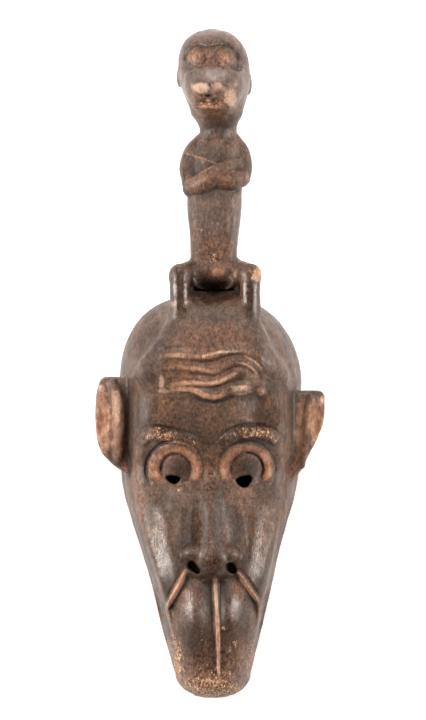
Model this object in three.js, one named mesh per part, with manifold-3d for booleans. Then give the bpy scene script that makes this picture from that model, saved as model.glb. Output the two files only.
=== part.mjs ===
// A carved wooden monkey mask with a seated monkey on its crown, all cut from one block.
// It lies face up on its flat back rim. Millimetres: +X is the viewer's right, +Y runs from the
// chin to the seated monkey's head, and +Z points out of the face.
import * as THREE from "three";
import { mergeVertices } from "three/addons/utils/BufferGeometryUtils.js";
import Module from "manifold-3d";

const wasm = await Module();
wasm.setup();

// Driving dimensions of the mask, as heights along Y and sizes across it
const crown = { centreY: -21, reach: 83.5, halfWidth: 82.4, height: 108, planPower: 2.3, sidePower: 3.5 };
const chin = { startY: -280, reach: 22, halfWidth: 34, height: 103, planPower: 2, sidePower: 3 };
const wall = 12.5;
const hollowEnds = { chinY: -264, crownY: 42 };
const eyes = [
  {
    x: -31.3, y: -95.4, ringRadius: 19.4, ringWidth: 12, ballX: -30.6, ballY: -94.4, ballRadius: 13.6,
    holeX: -33, holeY: -104.4, holeWidth: 12.8, holeHeight: 7.2,
  },
  {
    x: 32, y: -95.8, ringRadius: 19.6, ringWidth: 11, ballX: 32.6, ballY: -94.8, ballRadius: 15,
    holeX: 30.2, holeY: -106, holeWidth: 14.2, holeHeight: 10.8,
  },
];
const eyeRing = { height: 3.9, fromDegrees: -26, toDegrees: 206 };
const eyeballRise = 3.6;
const socket = { radius: 29, depth: 5 };
const nostrils = [
  { x: -14, y: -182.8, turn: -0.7 },
  { x: 19, y: -183.4, turn: -0.8 },
];
const nostril = { length: 13.5, width: 9, depth: 26 };
const brow = { width: 12, height: 5 };
const wrinkle = { width: 9, height: 3.2 };
const lipRidge = { width: 4.8, height: 2.7 };
const philtrumRidge = { width: 6.2, height: 4.2 };

// Driving dimensions of the seated monkey
const figureX = 4.5;
const kneeY = 78.8;
const legX = [-27, 35.5];
const legRadius = 8.8;
const trunk = { frontZ: 84.5, left: -12.2, right: 20, topY: 168 };
const lapLip = { x: 3.2, curve: 5 };
const lapSlit = { y: 64.6, half: 20.5, width: 2.2, floor: 72, rise: 60 };
const muzzleTop = { x: 1, y: 266.3, arch: 0.0085 };

// A smooth, never overshooting curve through [position, value] pairs
function curveThrough(pairs) {
  const at = pairs.map((pair) => pair[0]);
  const value = pairs.map((pair) => pair[1]);
  const slope = at.slice(1).map((next, i) => (value[i + 1] - value[i]) / (next - at[i]));
  const tangent = at.map((_, i) => {
    const before = slope[i - 1] ?? slope[0];
    const after = slope[i] ?? slope.at(-1);
    return before * after <= 0 ? 0 : (2 * before * after) / (before + after);
  });
  return (position) => {
    const p = THREE.MathUtils.clamp(position, at[0], at.at(-1));
    const found = at.findIndex((next, i) => i > 0 && p <= next);
    const i = Math.max(0, found - 1);
    const span = at[i + 1] - at[i];
    const t = (p - at[i]) / span;
    return (
      (2 * t ** 3 - 3 * t ** 2 + 1) * value[i] +
      (t ** 3 - 2 * t ** 2 + t) * span * tangent[i] +
      (3 * t ** 2 - 2 * t ** 3) * value[i + 1] +
      (t ** 3 - t ** 2) * span * tangent[i + 1]
    );
  };
}

// How far a round end still reaches at share s of its length: 1 at the start and 0 at the tip
const roundEnd = (s, power) => Math.max(0, 1 - Math.abs(s) ** power) ** (1 / power);

// A soft hill of height 1 around a middle
const hill = (value, middle, spread) => Math.exp(-(((value - middle) / spread) ** 2));

const sideWidth = curveThrough([
  [-280, 34], [-262, 39.4], [-240, 45.1], [-204, 53.6], [-175, 60.8], [-146, 69.7], [-118, 77.4],
  [-92, 81.2], [-60, 82.3], [-21, 82.4],
]);
const profile = curveThrough([
  [-280, 103], [-262, 109], [-235, 116], [-205, 117], [-165, 110], [-130, 101],
  [-100, 95], [-75, 103], [-50, 108], [-21, 108],
]);
const middle = curveThrough([
  [-302, 2.5], [-262, 1.8], [-204, 1.1], [-160, -0.5], [-118, -0.9], [-80, -0.4], [-20, 0], [62, -3],
]);
const squareness = curveThrough([
  [-302, 3], [-260, 3.3], [-220, 4], [-185, 4.6], [-150, 4.4], [-115, 3.4], [-60, 2.6], [-20, 2.4], [62, 2.2],
]);

function halfWidth(y) {
  if (y > crown.centreY)
    return crown.halfWidth * roundEnd((y - crown.centreY) / crown.reach, crown.planPower);
  if (y < chin.startY) return chin.halfWidth * roundEnd((chin.startY - y) / chin.reach, chin.planPower);
  return sideWidth(y);
}

function height(y) {
  if (y > crown.centreY) return crown.height * roundEnd((y - crown.centreY) / crown.reach, crown.sidePower);
  if (y < chin.startY) return chin.height * roundEnd((chin.startY - y) / chin.reach, chin.sidePower);
  return profile(y);
}

// Where the front panel breaks into the sides, as a share of the half-width
const panelEdge = {
  left: curveThrough([[-262, 0.8], [-226, 0.8], [-170, 0.86], [-94, 0.845], [-60, 0.82]]),
  right: curveThrough([[-262, 0.88], [-226, 0.89], [-170, 0.91], [-127, 0.83], [-94, 0.8], [-60, 0.8]]),
};

// Where the mouth's slanting ridges run, and the two lobes of the lip between them
const lipLeft = curveThrough([[-262, -44], [-219, -39.5], [-201, -29.5], [-184, -20.5]]);
const lipRight = curveThrough([[-262, 47], [-211, 41.5], [-198, 34], [-187, 26]]);
const lobes = [
  { x: -12, y: -216, width: 10.5, length: 24, height: 6.5 },
  { x: 17.2, y: -215, width: 9.5, length: 19, height: 6.5 },
];
const step = THREE.MathUtils.smoothstep;

// The carving that the mask's own skin carries: the step down to the sides, the eye sockets and
// the ledges under them, the cheeks, the hollows beside the nose, the sunk lip and its lobes
function relief(x, y) {
  const across = (x - middle(y)) / Math.max(1, halfWidth(y));
  const side = Math.abs(across);
  const edge = (across < 0 ? panelEdge.left : panelEdge.right)(y);
  const panel = -3 * step(side, edge - 0.02, edge + 0.04) * step(y, -275, -240) * (1 - step(y, -95, -70));
  const cheek = (1.6 * hill(side, 0.5, 0.12) + 2.5 * hill(side, 0.84, 0.1)) * hill(y, -162, 46);
  const besideNose = -4 * hill(Math.abs(x - 1), 24, 9) * hill(y, -150, 34);
  const lipSides = step(x - lipLeft(y), -1, 4) * step(lipRight(y) - x, -1, 4) * step(edge - side, 0, 0.1);
  const lip = -4 * lipSides * step(-y, 186, 192) * step(y, -242, -212);
  let rise = panel + cheek + besideNose + lip;
  for (const eye of eyes) {
    rise -= socket.depth * Math.exp(-((Math.hypot(x - eye.x, y - eye.y) / socket.radius) ** 4));
    rise += 1.3 * step(-y, 106.5, 109.5) * step(y, -145, -112) * hill(x, eye.x, 18);
  }
  for (const lobe of lobes) rise += lobe.height * hill(x, lobe.x, lobe.width) * hill(y, lobe.y, lobe.length);
  return rise;
}

// The height of the mask's own skin over a point of the floor
function skinZ(x, y) {
  const across = (x - middle(y)) / halfWidth(y);
  return height(y) * roundEnd(Math.min(1, Math.abs(across)), squareness(y)) + relief(x, y);
}

// The pad that carries the seated monkey's feet, as half-width and top along Y
const pad = {
  half: curveThrough([
    [-34, 71], [-12, 70], [0, 65], [10, 57.5], [20, 51], [32, 45], [44, 40.5], [54, 39], [63, 29], [72, 24],
  ]),
  top: curveThrough([
    [-34, 101], [-22, 107.5], [-6, 112], [8, 113], [22, 111.5], [42, 106], [50, 102], [60, 91], [72, 76],
  ]),
  thickness: curveThrough([[-34, 78], [-10, 60], [10, 44], [30, 34], [72, 28]]),
  middle: curveThrough([[-34, 0.4], [4, 0.4], [14, 1.2], [30, 3], [46, 3.7], [72, 4]]),
  power: curveThrough([[-34, 2.4], [-22, 3], [-4, 4.6], [20, 6], [72, 6]]),
};

// The height of the whole front over a point of the floor
function faceZ(x, y) {
  if (y < -34) return skinZ(x, y);
  const across = Math.min(1, Math.abs(x - pad.middle(y)) / pad.half(y));
  return Math.max(skinZ(x, y), pad.top(y) - pad.thickness(y) * (1 - roundEnd(across, pad.power(y))));
}

// A closed skin over rings of equally many points, with a fan over each end
function loft(rings) {
  const count = rings[0].length;
  const points = rings.flat();
  const index = [];
  for (let row = 0; row + 1 < rings.length; row++)
    for (let i = 0; i < count; i++) {
      const next = (i + 1) % count;
      const here = row * count;
      const there = here + count;
      index.push(here + i, here + next, there + next, here + i, there + next, there + i);
    }
  for (const [row, turn] of [[0, 1], [rings.length - 1, 0]]) {
    const centre = rings[row].reduce((sum, p) => sum.add(p), new THREE.Vector3()).divideScalar(count);
    points.push(centre);
    for (let i = 0; i < count; i++) {
      const pair = [row * count + i, row * count + ((i + 1) % count)];
      index.push(points.length - 1, pair[turn], pair[1 - turn]);
    }
  }
  const geometry = new THREE.BufferGeometry();
  geometry.setAttribute("position", new THREE.Float32BufferAttribute(points.flatMap((p) => p.toArray()), 3));
  return geometry.setIndex(index);
}

// A geometry as a manifold-3d solid, turned to face out
function solid(geometry) {
  const bare = geometry.clone();
  bare.deleteAttribute("normal");
  bare.deleteAttribute("uv");
  const merged = mergeVertices(bare, 1e-4);
  const triVerts = new Uint32Array(merged.index.array);
  const vertProperties = merged.attributes.position.array;
  const made = new wasm.Manifold(new wasm.Mesh({ numProp: 3, vertProperties, triVerts }));
  if (made.volume() > 0) return made;
  for (let i = 0; i < triVerts.length; i += 3)
    [triVerts[i + 1], triVerts[i + 2]] = [triVerts[i + 2], triVerts[i + 1]];
  return new wasm.Manifold(new wasm.Mesh({ numProp: 3, vertProperties, triVerts }));
}

// A ring across Y: a superellipse of half-sizes a and b round a centre
function flatRing(y, centreX, centreZ, a, b, sides, power = 2) {
  return Array.from({ length: sides }, (_, i) => {
    const angle = (2 * Math.PI * i) / sides;
    const [c, s] = [Math.cos(angle), Math.sin(angle)];
    const stretch = (Math.abs(c) ** power + Math.abs(s) ** power) ** (-1 / power);
    return new THREE.Vector3(centreX + a * c * stretch, y, centreZ + b * s * stretch);
  });
}

// An ellipsoid from its centre and half-sizes, turned if asked
function ellipsoid(centre, sizes, turn = [0, 0, 0], columns = 16, rows = 10) {
  const place = new THREE.Matrix4().compose(
    new THREE.Vector3(...centre),
    new THREE.Quaternion().setFromEuler(new THREE.Euler(...turn)),
    new THREE.Vector3(...sizes),
  );
  return solid(new THREE.SphereGeometry(1, columns, rows).applyMatrix4(place));
}

// A round limb through [x, y, z, radius] joints, with round ends
function limb(joints, sides = 8, steps = 4) {
  const middles = joints.map(([x, y, z]) => new THREE.Vector3(x, y, z));
  const path = new THREE.CatmullRomCurve3(middles, false, "centripetal");
  const radius = curveThrough(joints.map((joint, i) => [i / (joints.length - 1), joint[3]]));
  const frames = path.computeFrenetFrames(steps);
  const ring = (i, share, shift) => {
    const size = radius(i / steps);
    const centre = path.getPoint(i / steps).addScaledVector(frames.tangents[i], shift * size);
    return Array.from({ length: sides }, (_, k) => {
      const angle = (2 * Math.PI * k) / sides;
      return centre
        .clone()
        .addScaledVector(frames.normals[i], size * share * Math.cos(angle))
        .addScaledVector(frames.binormals[i], size * share * Math.sin(angle));
    });
  };
  const start = [ring(0, 0.3, -0.95), ring(0, 0.78, -0.62)];
  const between = Array.from({ length: steps + 1 }, (_, i) => ring(i, 1, 0));
  return solid(loft([...start, ...between, ring(steps, 0.78, 0.62), ring(steps, 0.3, 0.95)]));
}

// A carved ridge that follows the face along [x, y] points, thinning out at its ends
function ridge(path, width, rise, { steps = 14, sides = 8, ends = 0.35 } = {}) {
  const line = new THREE.SplineCurve(path.map(([x, y]) => new THREE.Vector2(x, y)));
  const rings = [];
  for (let i = 0; i <= steps; i++) {
    const at = line.getPoint(i / steps);
    const along = line.getTangent(i / steps);
    const taper = ends + (1 - ends) * Math.sin(Math.PI * (0.08 + (0.84 * i) / steps)) ** 0.6;
    const z = faceZ(at.x, at.y);
    rings.push(
      Array.from({ length: sides }, (_, k) => {
        const angle = (2 * Math.PI * (k + 0.5)) / sides;
        const out = (width / 2) * taper * Math.cos(angle);
        const up = Math.sin(angle) > 0 ? rise * taper : 5.5;
        return new THREE.Vector3(at.x - along.y * out, at.y + along.x * out, z + up * Math.sin(angle));
      }),
    );
  }
  return solid(loft(rings));
}

const joined = (solids) => solids.reduce((sum, next) => sum.add(next));
const arcPoints = (x, y, radius, from, to, count) =>
  Array.from({ length: count + 1 }, (_, i) => {
    const angle = THREE.MathUtils.degToRad(from + ((to - from) * i) / count);
    return [x + radius * Math.cos(angle), y + radius * Math.sin(angle)];
  });

// The mask's outer skin, closed by the flat back at z = 0
function maskBody() {
  const columns = 22;
  const crownRows = 9;
  const chinRows = 4;
  const rows = [];
  for (let i = chinRows; i >= 1; i--)
    rows.push(chin.startY - chin.reach * Math.sin((Math.PI / 2) * (i / (chinRows + 0.2))));
  for (let y = chin.startY; y < crown.centreY - 1; y += 12) rows.push(y);
  for (let i = 0; i <= crownRows; i++)
    rows.push(crown.centreY + crown.reach * Math.sin((Math.PI / 2) * (i / (crownRows + 0.2))));
  const rings = rows.map((y) =>
    Array.from({ length: columns + 1 }, (_, i) => {
      const angle = (Math.PI * i) / columns;
      const power = squareness(y);
      const [c, s] = [Math.cos(angle), Math.abs(Math.sin(angle))];
      const stretch = (Math.abs(c) ** power + s ** power) ** (-1 / power);
      const x = middle(y) + halfWidth(y) * c * stretch;
      const z = i % columns ? height(y) * s * stretch : 0;
      return new THREE.Vector3(x, y, z > 5 ? z + relief(x, y) * Math.min(1, (z - 5) / 20) : z);
    }),
  );
  return solid(loft(rings));
}

// The hollow for the wearer's face, open through the back
function hollow() {
  const rowCount = 13;
  const span = hollowEnds.crownY - hollowEnds.chinY;
  const rings = Array.from({ length: rowCount + 1 }, (_, i) => {
    const share = (1 - Math.cos((Math.PI * i) / rowCount)) / 2;
    const y = hollowEnds.chinY + span * share;
    const end = roundEnd(2 * share - 1, 3.2);
    const a = Math.max(2, (halfWidth(y) - wall) * end);
    const top = Math.max(3, (height(y) - wall - 4) * end);
    const arch = Array.from({ length: 13 }, (_, k) => {
      const angle = (Math.PI * k) / 12;
      const [c, s] = [Math.cos(angle), Math.abs(Math.sin(angle))];
      const stretch = (Math.abs(c) ** 2.3 + s ** 2.3) ** (-1 / 2.3);
      return new THREE.Vector3(middle(y) + a * c * stretch, y, top * s * stretch);
    });
    return [new THREE.Vector3(middle(y) + a, y, -6), ...arch, new THREE.Vector3(middle(y) - a, y, -6)];
  });
  return solid(loft(rings));
}

// The long nose: a narrow bridge that widens and rises to a round tip with two wings
function nose() {
  const centre = curveThrough([[-192, 3], [-184, 2.2], [-160, 0.8], [-76, 0.6]]);
  const flank = curveThrough([
    [-192, 8], [-188, 11.5], [-181, 13.5], [-172, 14], [-160, 12.5],
    [-145, 10.8], [-115, 9], [-95, 7.5], [-78, 4],
  ]);
  const rise = curveThrough([
    [-192, 6], [-188, 13], [-182, 16], [-172, 15.5], [-155, 11.5],
    [-130, 9], [-108, 7], [-92, 4.5], [-78, 1.5],
  ]);
  const power = curveThrough([[-192, 2.2], [-184, 2], [-172, 1.8], [-150, 1.7], [-110, 1.7], [-78, 1.8]]);
  const stations = [-192, -190, -187, -182, -176, -168, -158, -146, -131, -115, -99, -88, -78];
  const bridge = stations.map((y) => {
    const base = skinZ(centre(y), y) - 2;
    return Array.from({ length: 14 }, (_, i) => {
      const angle = (2 * Math.PI * i) / 14;
      const [c, s] = [Math.cos(angle), Math.sin(angle)];
      const n = power(y);
      const stretch = (Math.abs(c) ** n + Math.abs(s) ** n) ** (-1 / n);
      const up = s > 0 ? rise(y) + 2 : 6;
      return new THREE.Vector3(centre(y) + flank(y) * c * stretch, y, base + up * s * stretch);
    });
  });
  const wings = [[-14, -169.5, 11], [16.5, -171, 9.5]].map(([x, y, half]) =>
    ellipsoid([x, y, skinZ(x, y) + 1], [half, 7.6, 8.2], [0, 0, 0], 12, 6),
  );
  return joined([solid(loft(bridge)), ...wings]);
}

// Both brows, both eye rings with their lids, the wrinkles and the ridges round the mouth
function faceCarving() {
  const brows = [
    [[-61, -69], [-55, -63.5], [-38, -64.2], [-18, -70], [-9.5, -76]],
    [[60, -69], [52, -64.2], [31, -62], [13, -71], [7, -77]],
  ].map((path) => ridge(path, brow.width, brow.height, { steps: 7, sides: 5 }));
  const rings = eyes.map((eye) => {
    const path = arcPoints(eye.x, eye.y, eye.ringRadius, eyeRing.fromDegrees, eyeRing.toDegrees, 8);
    return ridge(path, eye.ringWidth, eyeRing.height, { steps: 12, sides: 6, ends: 0.7 });
  });
  const lids = eyes.map(({ ballX, ballY, ballRadius }) => {
    const centre = [ballX, ballY, skinZ(ballX, ballY) - 4];
    return ellipsoid(centre, [ballRadius, ballRadius, 4 + eyeballRise], [0, 0, 0], 12, 6);
  });
  const wrinkles = [
    [[-40, 3.6], [-30, 6.7], [-9.6, 5.4], [1.5, 5.8], [16.5, 10.2], [31.4, 10.2], [48, -1], [52.5, -7]],
    [[-43.3, -5.3], [-32, -3], [-12.7, -5.7], [1.5, -7.2], [14.2, -2.3], [22.4, 1.2], [40.3, -5], [48, -12]],
    [[-39, -15.2], [-17, -17.2], [-2.3, -17.4], [12.7, -14.2], [24.7, -9], [33.6, -10.5], [41, -16]],
    [[-43.3, -21], [-19.4, -23.2], [-5.9, -28.4], [1.5, -30], [14.9, -25.5], [27.6, -22.6], [42, -22.4]],
  ].map((path) => ridge(path, wrinkle.width, wrinkle.height, { steps: 10, sides: 5 }));
  const lipEdges = [
    [[-21.5, -185], [-30.2, -202], [-38.7, -218]],
    [[24.8, -187.5], [33.3, -199.8], [41.7, -211.6]],
  ].map((path) => ridge(path, lipRidge.width, lipRidge.height, { steps: 6, sides: 6 }));
  const philtrumPath = [[4, -189], [5.2, -212], [6.5, -240], [7.5, -285]];
  const philtrum = ridge(philtrumPath, philtrumRidge.width, philtrumRidge.height, { steps: 7, sides: 6 });
  return joined([...brows, ...rings, ...lids, ...wrinkles, ...lipEdges, philtrum]);
}

// An ear: an upright leaf with a scooped front and a thick roll where it meets the head
function ear(side, edge, scoopCentre, scoopSizes, roll) {
  const outer = curveThrough(edge);
  const [low, high] = [edge[0][0], edge.at(-1)[0]];
  const rings = Array.from({ length: 10 }, (_, i) => {
    const y = (low + high) / 2 - ((high - low) / 2) * Math.cos((Math.PI * i) / 9);
    const reach = Math.max(70, outer(y));
    const thick = 4.5 + 6 * Math.sin((Math.PI * i) / 9);
    return flatRing(y, (side * (reach + 62)) / 2, 50, (reach - 62) / 2, thick, 12, 2.6);
  });
  return solid(loft(rings)).subtract(ellipsoid(scoopCentre, scoopSizes, [0, 0, 0], 12, 6)).add(limb(roll));
}

function ears() {
  const left = [
    [-101, 74], [-95, 83], [-88, 91], [-80, 98], [-67, 102.5],
    [-48, 103.8], [-30, 103], [-20, 101], [-12.5, 97],
  ];
  const right = [
    [-106, 74], [-98, 80.5], [-80, 90], [-66, 97], [-54, 101.5], [-41, 103], [-31, 103], [-24.5, 100],
  ];
  const leftRoll = [[-88, -18, 56, 4], [-83.6, -36, 61, 5.6], [-82.6, -60, 62, 6], [-83, -86, 56, 4]];
  const rightRoll = [[90, -31, 55, 3.6], [87, -44, 58, 3.8], [86, -64, 59, 3.8], [82, -90, 54, 3]];
  return joined([
    ear(-1, left, [-98, -54, 69], [12.5, 36, 15], leftRoll),
    ear(1, right, [96, -58, 69], [11, 31, 15], rightRoll),
  ]);
}

// The raised pad that carries the seated monkey's feet down on to the forehead
function footPad() {
  const stations = [-34, -20, -6, 8, 20, 32, 44, 54, 63, 72];
  const arch = (y) =>
    Array.from({ length: 13 }, (_, i) => {
      const angle = (Math.PI * i) / 12;
      const [c, s] = [Math.cos(angle), Math.abs(Math.sin(angle))];
      const n = pad.power(y);
      const stretch = (Math.abs(c) ** n + s ** n) ** (-1 / n);
      const drop = pad.thickness(y) * (1 - s * stretch);
      return new THREE.Vector3(pad.middle(y) + pad.half(y) * c * stretch, y, pad.top(y) - drop);
    });
  return solid(loft(stations.map(arch)));
}

// Head, neck, chest and waist of the seated monkey as one skin, with a flat front to the trunk
function figureCore() {
  const stations = [
    [84, 3, 20, 58, 25], [97, 3, 20.8, 60, 25.5], [115, 3.4, 21.6, 62, 25.5],
    [132, 3.6, 23.6, 62, 25], [145, 3.8, 24.6, 62, 24], [157, 4.2, 24.5, 61, 23.5], [172, 5, 24.5, 60, 24],
    [186, 5.6, 23.5, 59, 22], [196, 6.2, 21, 59, 19.5], [203, 6.8, 17.8, 59, 17], [209, 7, 16.8, 59, 16.5],
    [215, 6.5, 18.3, 60, 18], [222, 6, 22.4, 61, 22], [231, 5.6, 25.4, 62, 27], [240, 5, 28.4, 62, 31],
    [250, 4, 31.4, 62, 33.5], [260, 3.4, 32.2, 62, 34.5], [271, 2.7, 31.7, 61, 34],
    [280, 2.4, 29.8, 60, 31.5], [287.6, 2, 26, 60, 27], [293, 1.8, 21.4, 60, 22],
    [297, 1.8, 15, 60, 14.5], [299.8, 1.8, 6.5, 60, 6],
  ];
  const rings = stations.map(([y, x, a, z, b]) => {
    const ring = flatRing(y, x, z, a, b, 16, y < 150 ? 3.4 : 2.15);
    if (y > trunk.topY) return ring;
    for (const p of ring) {
      const beyond = Math.max(trunk.left - p.x, p.x - trunk.right, 0);
      p.z = Math.min(p.z, trunk.frontZ - beyond);
    }
    return ring;
  });
  return solid(loft(rings));
}

// The seated monkey's face: muzzle, eyes under a hood, mouth and small ears
function figureFace() {
  const stations = [
    [221, 9, 80, 7], [225, 15.5, 81, 14], [231, 20.5, 82, 20.5], [240, 25, 82, 24.5], [248, 27, 82, 25.2],
    [255, 26.6, 82, 23.6], [260, 25.8, 82, 21.8], [muzzleTop.y, 22, 82, 19.5],
  ];
  const rings = stations.map(([y, a, z, b]) => flatRing(y, 3.6, z, a, b, 14, 2.8));
  for (const p of rings.at(-1)) p.y -= muzzleTop.arch * (p.x - muzzleTop.x) ** 2;
  const muzzle = solid(loft(rings));
  const upperLip = [[-8, 244.4, 8.2, 4.8], [6.6, 244.6, 5.8, 6]].map(([x, y, wide, tall]) =>
    ellipsoid([x, y, 105], [wide, tall, 4.4], [0, 0, 0], 8, 6),
  );
  const lowerLip = ellipsoid([-1, 228.6, 99], [14, 3, 6], [0, 0, 0], 10, 6);
  const mouth = ellipsoid([-0.5, 233.8, 110], [11.5, 3.8, 9], [0, 0, 0], 10, 6);
  const socketCuts = [-13, 13.4].map((x) => ellipsoid([x, 272, 97], [12.5, 11, 8.5], [0, 0, 0], 10, 6));
  const balls = [-13, 13.4].map((x) => ellipsoid([x, 272, 86.5], [9, 9.4, 5.5], [0, 0, 0], 10, 6));
  const sideEars = [[-27.3, 258], [34.3, 251]].map(([x, y]) =>
    ellipsoid([x, y, 57], [3.2, 10, 7], [0, 0, 0], 8, 6),
  );
  const lips = joined([...upperLip, lowerLip]);
  return { muzzle, lips, mouth, cut: joined(socketCuts), balls: joined([...balls, ...sideEars]) };
}

// Folded arms: upper arms down the sides, the left forearm crossing over the right one
function arms() {
  const left = [[-8, 199, 60, 7.5], [-15, 187, 61, 10], [-17.3, 175, 64, 10.4], [-16.6, 163, 70, 9]];
  const right = [[20, 199, 60, 8], [26.2, 187, 61, 9.6], [27.4, 176, 64, 10.4], [26.8, 166.5, 70, 9.2]];
  const over = [
    [-16.5, 156.5, 73, 8.4], [-8, 160.5, 81, 8.6], [1, 166.5, 85.5, 8.2], [12, 174, 85, 7], [24, 180, 74, 5],
  ];
  const under = [[26, 165, 75, 8.6], [18.5, 163.6, 82, 8.4], [9, 163.6, 83, 6.6]];
  return joined([left, right, over, under].map((joints) => limb(joints)));
}

// The flat, sunk triangle of chest that shows between the left upper arm and its forearm
function armGap() {
  const corners = [[-24, 189], [-24, 161.4], [5.2, 178.4]];
  return solid(loft([trunk.frontZ - 3, 110].map((z) => corners.map(([x, y]) => new THREE.Vector3(x, y, z)))));
}

// Bent legs: thighs forward to the knees, shins down to the pad, and the seat behind them
function legs() {
  const parts = legX.map((x) => {
    const side = Math.sign(x);
    const knee = [x, kneeY, 92, legRadius + 0.6];
    const shin = [[x, kneeY, 93, legRadius + 0.5], [x, 64, 96, legRadius], [x, 45, 96, legRadius + 0.6]];
    return joined([
      limb([[figureX + side * 12, 84, 54, 11], [figureX + side * 23, 81.5, 76, 10], knee]),
      limb(shin, 8, 3),
    ]);
  });
  const seat = [
    [44, 35.5, 58, 33], [58, 36, 58, 34], [72, 36, 57, 34],
    [82, 34, 57, 33], [88, 28, 57, 29], [91, 22, 57, 24],
  ];
  return joined([...parts, solid(loft(seat.map(([y, a, z, b]) => flatRing(y, figureX, z, a, b, 12, 2.7))))]);
}

// The pocket carved between the shins, under the belly: deep at its curved lip, with a slit each way
function lap() {
  const rows = [[60.5, 13, 67], [65, 15, 69], [70, 17, 76], [78, 15, 86], [86, 12, 91]];
  const shares = [-1, -0.5, 0, 0.5, 1];
  const rings = rows.map(([y, half, floor], row) => {
    const along = (share) => y + lapLip.curve * share ** 2 * (1 - row / (rows.length - 1));
    const point = (share, z) => new THREE.Vector3(lapLip.x + half * share, along(share), z);
    const under = shares.map((share) => point(share, floor + 3 * share ** 4));
    return [...under, ...shares.toReversed().map((share) => point(share, 132))];
  });
  const slit = new THREE.BoxGeometry(2 * lapSlit.half, lapSlit.width, lapSlit.rise);
  slit.translate(lapLip.x, lapSlit.y, lapSlit.floor + lapSlit.rise / 2);
  return solid(loft(rings)).add(solid(slit));
}

// Holes: an eye hole through to the hollow in each lid, and two blind nostrils
function holes() {
  const through = eyes.map(({ holeX, holeY, holeWidth, holeHeight }) => {
    const pin = new THREE.CylinderGeometry(0.5, 0.5, 60, 10);
    pin.rotateX(Math.PI / 2).scale(holeWidth, holeHeight, 1);
    return solid(pin.translate(holeX, holeY, skinZ(holeX, holeY) - 12));
  });
  const blind = nostrils.map(({ x, y, turn }) => {
    const pin = new THREE.CylinderGeometry(0.5, 0.35, nostril.depth, 10);
    pin.rotateX(Math.PI / 2).scale(nostril.length, nostril.width, 1).rotateZ(turn);
    return solid(pin.translate(x, y, skinZ(x, y) + nostril.depth / 2 - 5));
  });
  return joined([...through, ...blind]);
}

function carve() {
  const face = figureFace();
  const skull = figureCore().subtract(face.cut);
  const head = joined([skull, face.balls, face.muzzle, face.lips]).subtract(face.mouth);
  const monkey = joined([head, arms(), legs()]).subtract(armGap());
  const mask = joined([maskBody(), faceCarving(), nose(), ears(), footPad()]);
  return joined([mask, monkey]).subtract(joined([lap(), holes(), hollow()]));
}

function geometryOf(manifold) {
  const mesh = manifold.getMesh();
  const geometry = new THREE.BufferGeometry();
  geometry.setAttribute("position", new THREE.BufferAttribute(mesh.vertProperties, 3));
  geometry.setIndex(new THREE.BufferAttribute(mesh.triVerts, 1));
  geometry.computeBoundingBox();
  const middleOf = geometry.boundingBox.getCenter(new THREE.Vector3());
  return geometry.translate(-middleOf.x, -middleOf.y, -geometry.boundingBox.min.z);
}

const wood = new THREE.MeshStandardMaterial({ color: 0x53402f, roughness: 0.45, metalness: 0 });
const mask = new THREE.Mesh(geometryOf(carve()), wood);
mask.name = "monkey_mask";

const part = new THREE.Group();
part.add(mask);

export default part;
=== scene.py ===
import math

import bpy
import numpy as np
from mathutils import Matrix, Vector


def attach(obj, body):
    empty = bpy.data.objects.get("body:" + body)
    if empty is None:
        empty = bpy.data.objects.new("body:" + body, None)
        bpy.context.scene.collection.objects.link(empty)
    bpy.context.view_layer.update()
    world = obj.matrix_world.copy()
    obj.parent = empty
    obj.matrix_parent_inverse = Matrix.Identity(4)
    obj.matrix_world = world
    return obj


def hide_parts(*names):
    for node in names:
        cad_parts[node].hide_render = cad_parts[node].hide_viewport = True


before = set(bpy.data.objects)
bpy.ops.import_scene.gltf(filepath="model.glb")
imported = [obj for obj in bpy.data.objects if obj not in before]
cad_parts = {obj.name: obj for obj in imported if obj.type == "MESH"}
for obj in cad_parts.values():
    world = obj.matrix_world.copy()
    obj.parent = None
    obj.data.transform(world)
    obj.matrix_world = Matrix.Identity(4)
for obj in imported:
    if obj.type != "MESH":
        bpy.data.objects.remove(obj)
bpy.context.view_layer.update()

# Sizes are millimetres, as in the solid: X to the viewer's right, Y from chin to crown, Z out of
# the face. The carving is worked out as a distance field, and its surface becomes the mesh.
CELL = 1.25
LOW = (-107.0, -305.0, -2.0)
HIGH = (107.0, 304.0, 138.0)
MESH_TRIANGLES = 190000

CROWN_Y, CROWN_REACH, CROWN_HALF, CROWN_HEIGHT = -21.0, 83.5, 82.4, 108.0
CROWN_POWER = 3.5
CHIN_Y, CHIN_REACH, CHIN_HALF, CHIN_HEIGHT = -280.0, 22.0, 34.0, 103.0
WALL = 12.5
HOLLOW_Y = (-264.0, 42.0)
HOLLOW_POWER = 2.3
FRONT = HIGH[2]
MASK_LOW = (-95, -305, -2)
# Sections are worked out to this many times their half sizes, and limbs this far round their joints
FAR_OUT = 4
LIMB_MARGIN = 10
SETTLE_ROUNDS = 2

EYES = (
    {
        "x": -31.3, "y": -95.4, "ring": 19.4, "ring_width": 12.2, "groove": 1.7, "crest": -1.0,
        "ruddy": 1.35, "ball": (-30.6, -94.4), "ball_radius": 13.6, "shadow_x": -60, "shadow": 0.5,
        "hole": (-33.0, -104.4), "size": (12.8, 7.2), "tilt": -0.06,
    },
    {
        "x": 32.0, "y": -95.8, "ring": 19.6, "ring_width": 11.0, "groove": 0.5, "crest": 0.5,
        "ruddy": 1.2, "ball": (32.6, -94.8), "ball_radius": 15.0, "shadow_x": 4, "shadow": 2.0,
        "hole": (30.2, -106.0), "size": (14.2, 10.8), "tilt": 0.16,
    },
)
NOSTRILS = (
    ((-16.6, -180.4), (-11.2, -185.2)),
    ((17.8, -182), (20.2, -184.8)),
)
FIGURE_X = 4.5
LEG_X = (-27.0, 35.5)
LEG_RADIUS = 8.8
KNEE_Y = 78.8


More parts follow.
